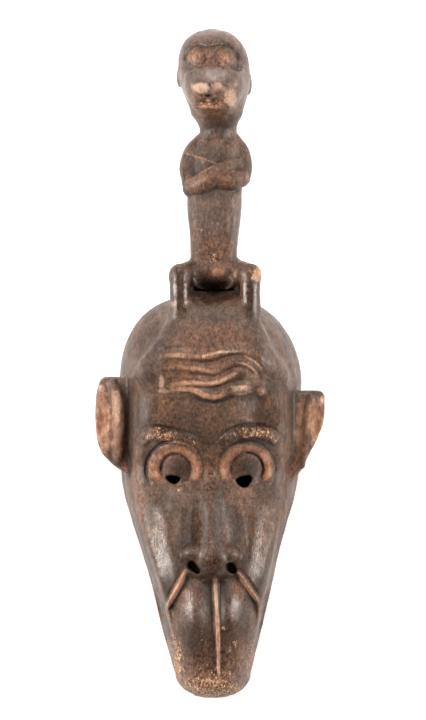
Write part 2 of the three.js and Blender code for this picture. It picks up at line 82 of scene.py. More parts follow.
def curve(*pairs):
    """A smooth curve through (position, value) pairs that never overshoots, for whole arrays."""
    at = np.array([p[0] for p in pairs], float)
    value = np.array([p[1] for p in pairs], float)
    slope = np.diff(value) / np.diff(at)
    before = np.concatenate((slope[:1], slope))
    after = np.concatenate((slope, slope[-1:]))
    same_way = before * after > 0
    tangent = np.where(same_way, 2 * before * after / np.where(same_way, before + after, 1), 0)

    def evaluate(position):
        p = np.clip(position, at[0], at[-1])
        i = np.clip(np.searchsorted(at, p, side="right") - 1, 0, len(at) - 2)
        span = at[i + 1] - at[i]
        t = (p - at[i]) / span
        return (
            (2 * t**3 - 3 * t**2 + 1) * value[i]
            + (t**3 - 2 * t**2 + t) * span * tangent[i]
            + (3 * t**2 - 2 * t**3) * value[i + 1]
            + (t**3 - t**2) * span * tangent[i + 1]
        )

    return evaluate


def round_end(share, power):
    """How far a round end still reaches at a share of its length: 1 at the start, 0 at the tip."""
    return np.clip(1 - np.abs(share) ** power, 0, 1) ** (1 / power)


def level(value):
    """A profile that keeps one value at every height."""
    return lambda y: value + 0 * y


def hill(value, middle, spread):
    return np.exp(-(((value - middle) / spread) ** 2))


def smooth(value, low, high):
    t = np.clip((value - low) / (high - low), 0, 1)
    return t * t * (3 - 2 * t)


SIDE_WIDTH = curve(
    (-280, 34), (-262, 39.4), (-240, 45.1), (-204, 53.6), (-175, 60.8), (-146, 69.7), (-118, 77.4),
    (-92, 81.2), (-60, 82.3), (-21, 82.4),
)
PROFILE = curve(
    (-281, 103), (-280, 103), (-262, 109), (-235, 116), (-205, 117), (-165, 110), (-130, 101), (-100, 95),
    (-75, 103), (-50, 108), (-21, 108),
)
MIDDLE = curve(
    (-302, 2.5), (-262, 1.8), (-204, 1.1), (-160, -0.5), (-118, -0.9), (-80, -0.4), (-20, 0), (62, -3),
)
SQUARENESS = curve(
    (-302, 3), (-260, 3.3), (-220, 4), (-185, 4.6), (-150, 4.4), (-115, 3.4), (-60, 2.6), (-20, 2.4),
    (62, 2.2),
)
LEFT_EDGE = curve((-262, 0.8), (-226, 0.8), (-170, 0.86), (-94, 0.845), (-60, 0.82))
RIGHT_EDGE = curve((-262, 0.88), (-226, 0.89), (-170, 0.91), (-127, 0.83), (-94, 0.8), (-60, 0.8))
PAD_Y = (-34, 72)
PAD_HALF = curve(
    (-34, 71), (-12, 70), (0, 65), (10, 57.5), (20, 51), (32, 45), (44, 40.5), (54, 39), (63, 29),
    (72, 24),
)
PAD_TOP = curve(
    (-34, 101), (-22, 107.5), (-6, 112), (8, 113), (22, 111.5), (42, 106), (50, 102), (60, 91), (72, 76),
)
PAD_THICKNESS = curve((-34, 78), (-10, 60), (10, 44), (30, 34), (72, 28))
PAD_MIDDLE = curve((-34, 0.4), (4, 0.4), (14, 1.2), (30, 3), (46, 3.7), (72, 4))
PAD_POWER = curve((-34, 2.4), (-22, 3), (-4, 4.6), (20, 6), (72, 6))
LIP_LEFT = curve((-262, -44), (-219, -39.5), (-201, -29.5), (-184, -20.5))
LIP_RIGHT = curve((-262, 47), (-211, 41.5), (-198, 34), (-187, 26))
LOBES = ((-13, -221, 11, 24, 6.5), (16.2, -221, 9.5, 20, 7))


def half_width(y):
    crown = CROWN_HALF * round_end((y - CROWN_Y) / CROWN_REACH, 2.3)
    chin = CHIN_HALF * round_end((CHIN_Y - y) / CHIN_REACH, 2)
    return np.where(y > CROWN_Y, crown, np.where(y < CHIN_Y, chin, SIDE_WIDTH(y)))


def height(y):
    crown = CROWN_HEIGHT * round_end((y - CROWN_Y) / CROWN_REACH, CROWN_POWER)
    chin = CHIN_HEIGHT * round_end((CHIN_Y - y) / CHIN_REACH, 3)
    return np.where(y > CROWN_Y, crown, np.where(y < CHIN_Y, chin, PROFILE(y)))


def skin_z(x, y):
    """The height of the mask's plain skin over a point of the floor, without the finer relief."""
    across = np.minimum(1, np.abs((x - MIDDLE(y)) / np.maximum(1, half_width(y))))
    return height(y) * round_end(across, SQUARENESS(y)) + broad_relief(x, y)


def broad_relief(x, y):
    """The step down to the sides, the eye sockets, cheeks, hollows by the nose and the lip's lobes."""
    across = (x - MIDDLE(y)) / np.maximum(1, half_width(y))
    side = np.abs(across)
    edge = np.where(across < 0, LEFT_EDGE(y), RIGHT_EDGE(y))
    step = -3 * smooth(side, edge - 0.02, edge + 0.04) * smooth(y, -275, -240)
    step = step * (1 - smooth(y, -95, -70))
    sockets = sum(-5 * np.exp(-((np.hypot(x - e["x"], y - e["y"]) / 29) ** 4)) for e in EYES)
    cheek = (1.6 * hill(side, 0.5, 0.12) + 2.5 * hill(side, 0.84, 0.1)) * hill(y, -162, 46)
    beside_nose = -4 * hill(np.abs(x - 1), 24, 9) * hill(y, -150, 34)
    below = 1.3 * smooth(-y, 106.5, 109.5) * smooth(y, -145, -112)
    under_eyes = sum(below * hill(x, e["x"], 18) for e in EYES)
    lip = -4 * smooth(x - LIP_LEFT(y), -1, 4) * smooth(LIP_RIGHT(y) - x, -1, 4)
    lip = lip * smooth(-y, 186, 192) * smooth(y, -242, -212) * smooth(edge - side, 0, 0.1)
    lobes = sum(h * np.exp(-((((x - lx) / a) ** 2 + ((y - ly) / b) ** 2))) for lx, ly, a, b, h in LOBES)
    return step + sockets + cheek + beside_nose + under_eyes + lip + lobes


def smooth_min(a, b, k):
    overlap = np.maximum(k - np.abs(a - b), 0) / k
    return np.minimum(a, b) - overlap * overlap * k / 4


def smooth_max(a, b, k):
    return -smooth_min(-a, -b, k)


def noise(x, y, z, size, seed):
    """Smooth random waves from -1 to 1, the same each run, with bumps about size millimetres wide."""
    lattice = np.random.default_rng(seed).uniform(-1, 1, (32, 32, 32)).astype(np.float32)
    whole = []
    part = []
    for value in (x, y, z):
        scaled = np.asarray(value) / size + 400.5
        floor = np.floor(scaled)
        whole.append(floor.astype(np.int32))
        t = (scaled - floor).astype(np.float32)
        part.append(t * t * (3 - 2 * t))
    total = 0
    for corner in range(8):
        bits = (corner & 1, corner >> 1 & 1, corner >> 2 & 1)
        weight = 1
        index = []
        for axis, bit in enumerate(bits):
            weight = weight * (part[axis] if bit else 1 - part[axis])
            index.append((whole[axis] + bit) & 31)
        total = total + weight * lattice[index[0], index[1], index[2]]
    return total


class Carving:
    """A distance field on a grid: negative in the wood, in millimetres."""

    def __init__(self):
        self.axes = [np.arange(lo, hi + CELL, CELL, dtype=np.float32) for lo, hi in zip(LOW, HIGH)]
        self.field = np.full([len(a) for a in self.axes], 60, dtype=np.float32)

    def block(self, low, high):
        """The slices of the grid inside a box, and its open coordinate arrays."""
        cuts = []
        for axis, lo, hi in zip(self.axes, low, high):
            first, end = np.searchsorted(axis, lo), np.searchsorted(axis, hi, side="right")
            cuts.append(slice(int(first), int(end)))
        x, y, z = (axis[cut] for axis, cut in zip(self.axes, cuts))
        return tuple(cuts), x[:, None, None], y[None, :, None], z[None, None, :]

    def add(self, low, high, shape, blend):
        cuts, x, y, z = self.block(low, high)
        self.field[cuts] = smooth_min(self.field[cuts], shape(x, y, z), blend)

    def cut(self, low, high, shape, blend):
        cuts, x, y, z = self.block(low, high)
        self.field[cuts] = smooth_max(self.field[cuts], -shape(x, y, z), blend)


def section(u, v, power):
    """The distance from a skin with a rounded section, where u and v are shares of its half sizes."""
    value = np.minimum((u**power + v**power) ** (1 / power), FAR_OUT).astype(np.float32)
    steepness = np.sqrt(sum(s * s for s in np.gradient(value, CELL)))
    return ((value - 1) / np.maximum(steepness, 1e-3)).astype(np.float32)


def capped(distance, ends, blend):
    """A long skin closed by its end planes."""
    return smooth_max(distance, ends + 0 * distance, blend)


def tube(across_y, x_middle, half_x, z_middle, half_z, power):
    """A skin round the Y axis whose section at each height is a rounded rectangle or an ellipse."""

    def shape(x, y, z):
        u = np.abs((x - x_middle(y)) / np.maximum(0.5, half_x(y)))
        v = np.abs((z - z_middle(y)) / np.maximum(0.5, half_z(y)))
        ends = np.maximum(across_y[0] - y, y - across_y[1])
        return capped(section(u, v, power(y)), ends, 3)

    return shape


def ellipsoid(centre, sizes):
    def shape(x, y, z):
        p = [(v - c) / s for v, c, s in zip((x, y, z), centre, sizes)]
        k0 = np.sqrt(p[0] ** 2 + p[1] ** 2 + p[2] ** 2)
        k1 = np.sqrt((p[0] / sizes[0]) ** 2 + (p[1] / sizes[1]) ** 2 + (p[2] / sizes[2]) ** 2)
        return k0 * (k0 - 1) / np.maximum(k1, 1e-4)

    return shape


def limb(joints):
    """A round limb through (x, y, z, radius) joints."""
    points = np.array(joints, float)
    steps = np.linspace(0, len(joints) - 1, 5 * (len(joints) - 1) + 1)
    smoothed = [curve(*enumerate(points[:, k]))(steps) for k in range(4)]
    beads = np.stack(smoothed, axis=1)

    def shape(x, y, z):
        nearest = 60.0
        for a, b in zip(beads[:-1], beads[1:]):
            along = b[:3] - a[:3]
            length2 = max(1e-6, float(along @ along))
            t = sum((v - a[k]) * along[k] for k, v in enumerate((x, y, z))) / length2
            t = np.clip(t, 0, 1)
            gap = np.sqrt(sum((v - a[k] - t * along[k]) ** 2 for k, v in enumerate((x, y, z))))
            nearest = np.minimum(nearest, gap - (a[3] + t * (b[3] - a[3])))
        return nearest

    low = points[:, :3].min(axis=0) - points[:, 3].max() - LIMB_MARGIN
    high = points[:, :3].max(axis=0) + points[:, 3].max() + LIMB_MARGIN
    return low, high, shape


def spline(points, count=48):
    """Evenly shared samples of a smooth line through a few points."""
    points = np.array(points, float)
    steps = np.linspace(0, len(points) - 1, count)
    padded = np.vstack((2 * points[0] - points[1], points, 2 * points[-1] - points[-2]))
    i = np.minimum(steps.astype(int), len(points) - 2)
    t = (steps - i)[:, None]
    a, b, c, d = (padded[i + k] for k in range(4))
    straight = 2 * b + (c - a) * t
    return 0.5 * (straight + (2 * a - 5 * b + 4 * c - d) * t**2 + (3 * b - a - 3 * c + d) * t**3)


def line_distance(x, y, points):
    """Distance from a drawn line, how far along it the nearest point is, and which side it is on."""
    line = spline(points)
    best = np.full(np.broadcast(x, y).shape, 1e6)
    along = np.zeros_like(best)
    side = np.zeros_like(best)
    for i, (a, b) in enumerate(zip(line[:-1], line[1:])):
        step = b - a
        t = np.clip(((x - a[0]) * step[0] + (y - a[1]) * step[1]) / (step @ step), 0, 1)
        dx = x - a[0] - t * step[0]
        dy = y - a[1] - t * step[1]
        gap = np.hypot(dx, dy)
        closer = gap < best
        best = np.where(closer, gap, best)
        along = np.where(closer, (i + t) / (len(line) - 1), along)
        side = np.where(closer, np.sign(step[0] * dy - step[1] * dx), side)
    return best, along, side


# What is drawn on the front: each line follows the carving from end to end
BROWS = (
    ((-61, -69), (-55, -63.5), (-47, -62.6), (-38, -64.2), (-28, -67), (-18, -70), (-9.5, -76)),
    ((60, -69), (52, -64.2), (42, -61.6), (31, -62), (21, -64.8), (13, -71), (7, -77)),
)
WRINKLES = (
    ((-40, 3.6), (-30, 6.7), (-19.4, 6.2), (-9.6, 5.4), (1.5, 5.8), (9, 8.6), (16.5, 10.2), (24, 11),
     (31.4, 10.2), (40, 5), (48, -1), (52.5, -7)),
    ((-43.3, -5.3), (-32, -3.1), (-21, -3.8), (-12.7, -5.7), (1.5, -7.2), (7.5, -5.3), (14.2, -2.3),
     (22.4, 1.2), (31.4, -0.3), (40.3, -4.7), (48, -12)),
    ((-39, -15.2), (-27, -16.4), (-17, -17.2), (-9.6, -16.6), (-2.3, -17.4), (7.5, -16.5), (12.7, -14.2),
     (20.2, -11.6), (24.7, -9), (33.6, -10.5), (41, -16)),
    ((-43.3, -21), (-29.8, -21.7), (-19.4, -23.2), (-12.7, -25.5), (-5.9, -28.4), (1.5, -30), (9, -29.2),
     (14.9, -25.5), (20.2, -23.4), (27.6, -22.6), (35, -22.6), (42, -22.4)),
)
SHORT_WRINKLE = ((-47, 14), (-37, 15.6), (-27, 16.6))
WRINKLE_KNOB = (45.5, -25.5)
LIP_EDGES = (
    ((-21.5, -185), (-30.2, -202), (-38.7, -218)),
    ((24.8, -187.5), (33.3, -199.8), (41.7, -211.6)),
)
PHILTRUM = ((4, -191), (5.2, -212), (6.5, -240), (7.2, -262), (7.5, -285))
CHEEK_CREASE = ((27.5, -131), (30, -147), (31.5, -160), (33, -170))
RING_HEIGHT = 3.3


def bar(gap, width, power=2.0):
    """A rounded ridge profile: 1 on the line and 0 half a width away."""
    return np.clip(1 - (2 * gap / width) ** power, 0, 1) ** 0.6


def swell(gap, reach):
    """A ridge profile that runs out softly: 1 on the line and 0 at its reach."""
    return 0.5 + 0.5 * np.cos(np.pi * np.clip(gap / reach, 0, 1))


def tapered(along, thin):
    return thin + (1 - thin) * np.clip(np.sin(np.pi * (0.06 + 0.88 * along)), 0, 1) ** 0.6


def eye_relief(x, y):
    """The open ring round each eye, the groove outside it and the lid's ball within it."""
    relief = 0 * x + 0 * y
    for eye in EYES:
        dx, dy = x - eye["x"], y - eye["y"]
        radius = np.hypot(dx, dy)
        angle = np.degrees(np.arctan2(dy, dx))
        from_top = np.abs((angle - 90 + 180) % 360 - 180)
        open_below = 1 - smooth(from_top, 104, 126)
        worn_down = 1 - 0.35 * noise(x, y, 0 * x, 6, 31)
        ring = bar(np.abs(radius - eye["ring"]), eye["ring_width"], 2.0)
        ring = ring - 0.16 * hill(radius, eye["ring"] - 1.2, 0.8) * (1 + noise(x, y, 0 * x, 5, 35))
        relief = relief + RING_HEIGHT * worn_down * ring * open_below
        outside = smooth(-dx if eye["x"] < 0 else dx, -24, 6)
        outer = eye["ring"] + eye["ring_width"] / 2 + 0.8
        relief = relief - eye["groove"] * outside * hill(radius, outer, 1.1) * open_below
        ball = np.hypot(x - eye["ball"][0], y - eye["ball"][1]) / eye["ball_radius"]
        dome = 0.6 + 2.8 * (1 - ball**2)
        relief = np.where(ball < 1, np.maximum(relief - 3, dome), relief)
        shadow = hill(ball, 1, 0.07) * smooth(dx + dy / 2, eye["shadow_x"], eye["shadow_x"] + 9)
        relief = relief - eye["shadow"] * shadow
    return relief


def drawn_relief(x, y):
    """Everything drawn on the front as heights over the skin, in millimetres."""
    relief = eye_relief(x, y)
    uneven = 1 + 0.35 * noise(x, y, 0 * x, 7, 32) + 0.25 * noise(x, y, 0 * x, 3.5, 33)
    for path in BROWS:
        gap, along, side = line_distance(x, y, path)
        above = np.where(side * (path[-1][0] - path[0][0]) > 0, 1.0, 0.0)
        fade = tapered(along, 0.2) * (1 - 0.65 * smooth(along, 0.6, 0.95))
        lumps = uneven * (1 + 0.35 * noise(x, y, 0 * x, 2.6, 36))
        relief = relief + (4 * lumps * bar(gap, 12, 2.6) - 1.2 * above * hill(gap, 6.8, 1.1)) * fade
    for path in WRINKLES:
        gap, along, side = line_distance(x, y, path)
        above = side > 0
        off = np.maximum(gap - 1.2, 0)
        lip = 3.0 * np.where(above, swell(off, 7.5), swell(off, 3.4)) - 0.8 * ~above * hill(gap, 5, 1.8)
        broken = 0.78 + 0.5 * noise(x, y, 0 * x, 11, 34) + 0.2 * uneven
        lip = lip * tapered(along, 0.2) * broken
        relief = relief + lip * (1 - 0.5 * smooth(-x, 10, 30)) * (1 - 0.35 * smooth(x, 26, 40))
    gap, along, _ = line_distance(x, y, SHORT_WRINKLE)
    relief = relief + 1.0 * swell(gap, 3) * tapered(along, 0.2)
    knob = np.hypot(x - WRINKLE_KNOB[0], y - WRINKLE_KNOB[1])
    relief = relief + 2.2 * swell(knob, 6) * uneven
    relief = relief + 1.8 * smooth(-np.abs(x - 1), -51, -44) * smooth(-np.abs(y + 10), -25, -15)
    for path, outer in zip(LIP_EDGES, (-1, 1)):
        gap, along, side = line_distance(x, y, path)
        beyond = np.where(side * outer > 0, 1.0, 0.0)
        relief = relief + (2.0 * bar(gap, 4.2) - 1.2 * beyond * hill(gap, 3.6, 1.4)) * tapered(along, 0.5)
    gap, along, _ = line_distance(x, y, CHEEK_CREASE)
    relief = relief - 0.9 * hill(gap, 0, 1.8) * tapered(along, 0.1)
    gap, along, _ = line_distance(x, y, PHILTRUM)
    width = 5.4 - 1.7 * along - 2.0 * smooth(along, 0.6, 1)
    return relief + 4 * bar(gap, width) * (1 - 0.5 * along) * smooth(1 - along, 0, 0.06)


def mask_skin(x, y, z):
    u = np.abs((x - MIDDLE(y)) / np.maximum(1.5, half_width(y)))
    v = np.maximum(z, 0) / np.maximum(1.5, height(y))
    dome_end = CROWN_Y + CROWN_REACH * round_end(np.maximum(z, 0) / CROWN_HEIGHT, CROWN_POWER)
    return np.maximum(section(u, v, SQUARENESS(y)), 0.7 * (y - dome_end))


def pad_skin(x, y, z):
    u = np.abs((x - PAD_MIDDLE(y)) / PAD_HALF(y))
    v = np.maximum(z - PAD_TOP(y) + PAD_THICKNESS(y), 0) / PAD_THICKNESS(y)
    ends = np.maximum(np.maximum(PAD_Y[0] - y, y - PAD_Y[1]), PAD_TOP(y) - PAD_THICKNESS(y) - z)
    return capped(section(u, v, PAD_POWER(y)), ends, 3)


def hollow(x, y, z):
    share = 2 * (y - HOLLOW_Y[0]) / (HOLLOW_Y[1] - HOLLOW_Y[0]) - 1
    end = round_end(share, 3.2)
    half = np.maximum(1, (half_width(y) - WALL) * end)
    top = np.maximum(1.5, (height(y) - WALL - 4) * end)
    return section(np.abs((x - MIDDLE(y)) / half), np.maximum(z, 0) / top, HOLLOW_POWER)


NOSE_TOP, NOSE_END = -78, -192.0
NOSE_MIDDLE = curve((NOSE_END, 3), (-184, 2.2), (-160, 0.8), (-76, 0.6))
NOSE_FLANK = curve(
    (NOSE_END, 8), (-188, 11.5), (-181, 13.5), (-172, 14), (-160, 12.5), (-145, 10.8), (-115, 9),
    (-95, 7.5), (NOSE_TOP, 4),
)
NOSE_RISE = curve(
    (NOSE_END, 6), (-188, 13), (-182, 16), (-172, 15.5), (-155, 11.5), (-130, 9), (-108, 7), (-92, 4.5),
    (NOSE_TOP, 1.5),
)
NOSE_POWER = curve((NOSE_END, 2.2), (-184, 2), (-172, 1.8), (-150, 1.7), (-110, 1.7), (NOSE_TOP, 1.8))
WINGS = ((-14, -169.5, (11, 7.6, 8.2)), (16.5, -171, (9.5, 7.6, 8.2)))


def nose_bridge(x, y, z):
    base = skin_z(NOSE_MIDDLE(y), y) - 2
    u = np.abs((x - NOSE_MIDDLE(y)) / NOSE_FLANK(y))
    v = np.abs((z - base) / np.where(z > base, NOSE_RISE(y) + 2, 6))
    ends = np.maximum(NOSE_END - y, y - NOSE_TOP)
    return capped(section(u, v, NOSE_POWER(y)), ends, 4)


def carve_face(carving):
    """The mask's skin, pad, nose and everything drawn on them."""
    carving.add(MASK_LOW, (95, 66, FRONT), mask_skin, 0.1)
    carving.add((-82, -40, 15), (82, 78, 120), pad_skin, 4)
    cuts, x, y, z = carving.block(MASK_LOW, (95, 72, FRONT))
    flat_x, flat_y = x[:, :, 0], y[:, :, 0]
    relief = broad_relief(flat_x, flat_y) + drawn_relief(flat_x, flat_y)
    fade = smooth(z, 5, 28)
    carving.field[cuts] -= (relief[:, :, None] * fade).astype(np.float32)
    carving.add((-30, -202, 80), (36, -68, FRONT), nose_bridge, 6)
    for x, y, sizes in WINGS:
        centre = (x, y, float(skin_z(x, y)) + 1)
        carving.add((x - 24, y - 26, 80), (x + 24, y + 26, FRONT), ellipsoid(centre, sizes), 5)


EAR_ROOT_X, EAR_MIDDLE_Z = 62, 50
EARS = (
    {
        "side": -1, "span": (-101, -12.5), "scoop": ((-98, -54, 69), (12.5, 36, 15)),
        "edge": curve(
            (-101, 74), (-95, 83), (-88, 91), (-80, 98), (-67, 102.5), (-48, 103.8), (-30, 103),
            (-20, 101), (-12.5, 97),
        ),
        "roll": (
            (-88, -18, 56, 4), (-84, -32, 61, 5.4), (-82.6, -56, 62, 6.2), (-82.6, -78, 60, 5.6),
            (-83, -90, 54, 3.5),
        ),
        "crease": ((-76.4, -30, 68, 1.0), (-76, -56, 70, 1.4), (-76.2, -86, 66, 1.2)),
    },
    {
        "side": 1, "span": (-106, -24.5), "scoop": ((96, -58, 69), (11, 31, 15)),
        "edge": curve(
            (-106, 74), (-98, 80.5), (-80, 90), (-66, 97), (-54, 101.5), (-41, 103), (-31, 103),
            (-24.5, 100),
        ),
        "roll": (
            (90, -31, 55, 3.6), (87, -44, 58, 3.8), (86.4, -62, 59, 3.8), (84, -78, 58, 3.6),
            (82, -92, 54, 3),
        ),
        "crease": ((80, -40, 64, 2), (80.4, -58, 65, 3.4), (79, -84, 63, 2.6), (77, -96, 60, 2)),
    },
)


def ear_leaf(side, span, edge):
    """An upright leaf between the head and the ear's edge, thin at its top and bottom."""

    def thickness(y):
        share = (2 * y - span[0] - span[1]) / (span[1] - span[0])
        return 4.5 + 6 * round_end(share, 2)

    def middle(y):
        return side * (edge(y) + EAR_ROOT_X) / 2

    def half(y):
        return (edge(y) - EAR_ROOT_X) / 2

    return tube(span, middle, half, level(EAR_MIDDLE_Z), thickness, level(2.6))


def carve_ears(carving):
    """Two upright leaves with open scooped fronts, each with a roll beside the head."""
    for ear in EARS:
        low_x, high_x = sorted((ear["side"] * 60, ear["side"] * 107))
        leaf = ear_leaf(ear["side"], ear["span"], ear["edge"])
        carving.add((low_x, -112, 34), (high_x, -6, 70), leaf, 3)
        carving.cut((low_x, -112, 34), (high_x, -6, 80), ellipsoid(*ear["scoop"]), 2)
        carving.add(*limb(ear["roll"]), 2)
        carving.cut(*limb(ear["crease"]), 1)


CORE = (
    # height, middle x, half x, middle z, half z
    (84, 3, 20, 58, 25), (97, 3, 20.8, 60, 25.5), (115, 3.4, 21.6, 62, 25.5), (132, 3.6, 23.6, 62, 25),
    (145, 3.8, 24.6, 62, 24), (157, 4.2, 24.5, 61, 23.5), (172, 5, 24.5, 60, 24),
    (186, 5.6, 23.5, 59, 22), (196, 6.2, 21, 59, 19.5), (203, 6.8, 17.8, 59, 17),
    (209, 7, 16.8, 59, 16.5), (215, 6.5, 18.3, 60, 18), (222, 6, 22.4, 61, 22), (231, 5.6, 25.4, 62, 27),
    (240, 5, 28.4, 62, 31), (250, 4, 31.4, 62, 33.5), (260, 3.4, 32.2, 62, 34.5),
    (271, 2.7, 31.7, 61, 34), (280, 2.4, 29.8, 60, 31.5), (287.6, 2, 26, 60, 27),
    (293, 1.8, 21.4, 60, 22), (297, 1.8, 15, 60, 14.5), (299.8, 1.8, 6.5, 60, 6),
)
MUZZLE = (
    # height, half x, half z
    (221, 9, 7), (225, 15.5, 14), (231, 20.5, 20.5), (240, 25, 24.5), (248, 27, 25.2), (254, 26.8, 24),
    (260, 26, 22), (268, 25, 19),
)
SEAT = (
    # height, half x, middle z, half z
    (44, 35.5, 58, 33), (58, 36, 58, 34), (72, 36, 57, 34), (82, 34, 57, 33), (88, 28, 57, 29),
    (91, 22, 57, 24),
)
HOOD = (
    (-24.1, 260), (-23.7, 268), (-21, 277.5), (-16.5, 282.4), (-9.4, 285), (-0.5, 282), (8.5, 284.2),
    (14, 284.6), (19.3, 281), (23.7, 276.5), (26.4, 268), (26.2, 260),
)
FIGURE_EYES = ((-13.5, 273, 8.4, 10.5), (13.4, 272.6, 9.6, 10))
MUZZLE_TOP, MUZZLE_ARCH = 266.3, 0.0085
SNOUT_X, SNOUT_Z = 3.6, 82
TORSO_FRONT = 84.5
TORSO_EDGES = (-14.5, 22.5)
ARM_GAP = ((-24, 189), (5.2, 178.4), (-24, 161.4))
ARMS = (
    ((-8, 199, 60, 7.5), (-15, 187, 61, 10), (-17.3, 175, 64, 10.4), (-16.6, 163, 70, 9)),
    ((20, 199, 60, 8), (26.2, 187, 61, 9.6), (27.4, 176, 64, 10.4), (26.8, 166.5, 70, 9.2)),
    ((26, 165, 75, 8.6), (18.5, 163.6, 82, 8.4), (9, 163.6, 83, 6.6)),
    ((-16.5, 156.5, 73, 8.4), (-8, 160.5, 81, 8.6), (1, 166.5, 85.5, 8.2), (12, 174, 85, 7),
     (24, 180, 74, 5)),
)
FIGURE_LOW, FIGURE_HIGH = (-45, 76, 15), (50, 304, 110)


def muzzle_edge(x):
    """The arched line where the muzzle breaks back under the eyes."""
    return MUZZLE_TOP - MUZZLE_ARCH * (x - 1) ** 2


def column(rows, pick):
    return curve(*((row[0], row[pick]) for row in rows))


def trunk_power(y):
    """Squarer sections below the shoulders, and elliptic ones above."""
    return 2.2 + 1.6 * smooth(-y, -158, -146)


def torso_facets(x, y, z):
    """The flat front of the trunk and the bevel down each of its sides."""
    left, right = TORSO_EDGES
    front = z - TORSO_FRONT
    facets = smooth_max(front + 0 * x, 0.7 * (left - x) + 0.7 * front, 9)
    return smooth_max(facets, 0.7 * (x - right) + 0.7 * front, 9)


def inside_lines(x, y, corners):
    """How far a point is inside a shape whose corners run clockwise, and negative outside it."""
    depth = 1e3
    for (ax, ay), (bx, by) in zip(corners, corners[1:] + corners[:1]):
        length = math.hypot(bx - ax, by - ay)
        depth = np.minimum(depth, ((x - ax) * (by - ay) - (y - ay) * (bx - ax)) / length)
    return depth


def figure_relief(x, y):
    """What is cut into the figure's front: the brow's line, the eyes' rings and the gap of the arms."""
    inner = HOOD[1:-1]
    hood_top = curve(*inner)(x)
    sides = smooth(x - inner[0][0], 0, 2.5) * smooth(inner[-1][0] - x, 0, 2.5)
    under = smooth(hood_top - y, 0, 2) * smooth(y - muzzle_edge(x), -4, -1) * sides
    relief = -1.8 * under + 1.2 * under * hill(x, 0.4, 5)
    gap, _, _ = line_distance(x, y, HOOD)
    relief = relief - 1.3 * hill(gap, 0, 1.1) * smooth(y, 259, 264)
    for ex, ey, wide, tall in FIGURE_EYES:
        radius = np.hypot((x - ex) / wide, (y - ey) / tall)
        rings = hill(radius, 0.72, 0.1) + hill(radius, 0.38, 0.1)
        relief = relief + 2.6 * np.clip(1 - radius**4, 0, 1) - 0.8 * rings
    depth = inside_lines(x, y, ARM_GAP)
    return relief - 1.3 * smooth(depth, -0.3, 1.4) + 0.9 * hill(depth, -0.9, 0.9)


def carve_figure(carving):
    """The monkey on the crown, carved on a grid of its own and then blended into the mask."""
    figure = Carving()
    core = tube((80, 300.2), *(column(CORE, k) for k in (1, 2, 3, 4)), trunk_power)
    figure.add(FIGURE_LOW, FIGURE_HIGH, core, 0.1)
    figure.cut(FIGURE_LOW, (50, 168, 110), lambda x, y, z: -torso_facets(x, y, z), 3)
    middle_x, middle_z = level(SNOUT_X), level(SNOUT_Z)
    snout = tube((221, 268), middle_x, column(MUZZLE, 1), middle_z, column(MUZZLE, 2), level(2.8))

    def muzzle(x, y, z):
        return smooth_max(snout(x, y, z), y - muzzle_edge(x) + 0 * z, 1)

    figure.add((-34, 208, 56), (42, 274, 115), muzzle, 6)
    for joints in ARMS:
        figure.add(*limb(joints), 2)
    cuts, x, y, z = figure.block((-45, 150, 60), (50, 304, 120))
    relief = figure_relief(x[:, :, 0], y[:, :, 0])
    figure.field[cuts] -= (relief[:, :, None] * smooth(z, 66, 78)).astype(np.float32)
    for x, y, sizes in ((-8, 244.4, (8.2, 4.8, 4.4)), (6.6, 244.6, (5.8, 6, 4.4))):
        figure.add((x - 17, y - 15, 90), (x + 17, y + 15, 118), ellipsoid((x, y, 105), sizes), 2)
    for work, low, high, centre, half_sizes, blend in (
        (figure.add, (-24, 218, 84), (24, 240, 114), (-1, 228.6, 99), (14, 3, 6), 2),
        (figure.cut, (-22, 224, 92), (22, 246, 120), (-0.5, 233.8, 110), (11.5, 3.8, 9), 2),
        (figure.cut, (-10, 230, 92), (8, 246, 120), (-1.6, 238.2, 108), (5.5, 1.4, 7), 1),
        (figure.add, (-14, 226, 92), (12, 242, 112), (-2, 234.2, 101.5), (2.6, 2.6, 3), 1),
        (figure.cut, (-8, 240, 98), (8, 256, 120), (-0.6, 247, 110), (1.3, 3, 5), 1),
        (figure.cut, (0, 236, 98), (16, 250, 120), (7.4, 242.6, 112), (2.4, 1.8, 4.5), 1.5),
    ):
        work(low, high, ellipsoid(centre, half_sizes), blend)
    for x, y in ((-27.3, 258), (34.3, 251)):
        figure.add((x - 10, y - 16, 44), (x + 10, y + 16, 70), ellipsoid((x, y, 57), (3.2, 10, 7)), 2)
    for x in LEG_X:
        side = math.copysign(1, x)
        thigh = (
            (FIGURE_X + side * 12, 84, 54, 11), (FIGURE_X + side * 23, 81.5, 76, 10),
            (x, KNEE_Y, 92, LEG_RADIUS + 0.6),
        )
        shin = ((x, KNEE_Y, 93, LEG_RADIUS + 0.5), (x, 64, 96, LEG_RADIUS), (x, 45, 96, LEG_RADIUS + 0.6))
        figure.add(*limb(thigh), 4)
        figure.add(*limb(shin), 3)
    seat = tube((44, 92), level(FIGURE_X), *(column(SEAT, k) for k in (1, 2, 3)), level(2.7))
    figure.add((-34, 38, 16), (44, 98, 102), seat, 4)
    carving.field = smooth_min(carving.field, figure.field, 5)


LAP_X, LAP_LIP = 3.2, 61.5
LAP_HALF = curve((60, 8), (65, 11), (70, 14), (78, 15), (87, 12))
LAP_FLOOR = curve((60, 71), (65, 73), (70, 79), (76, 86), (87, 92))


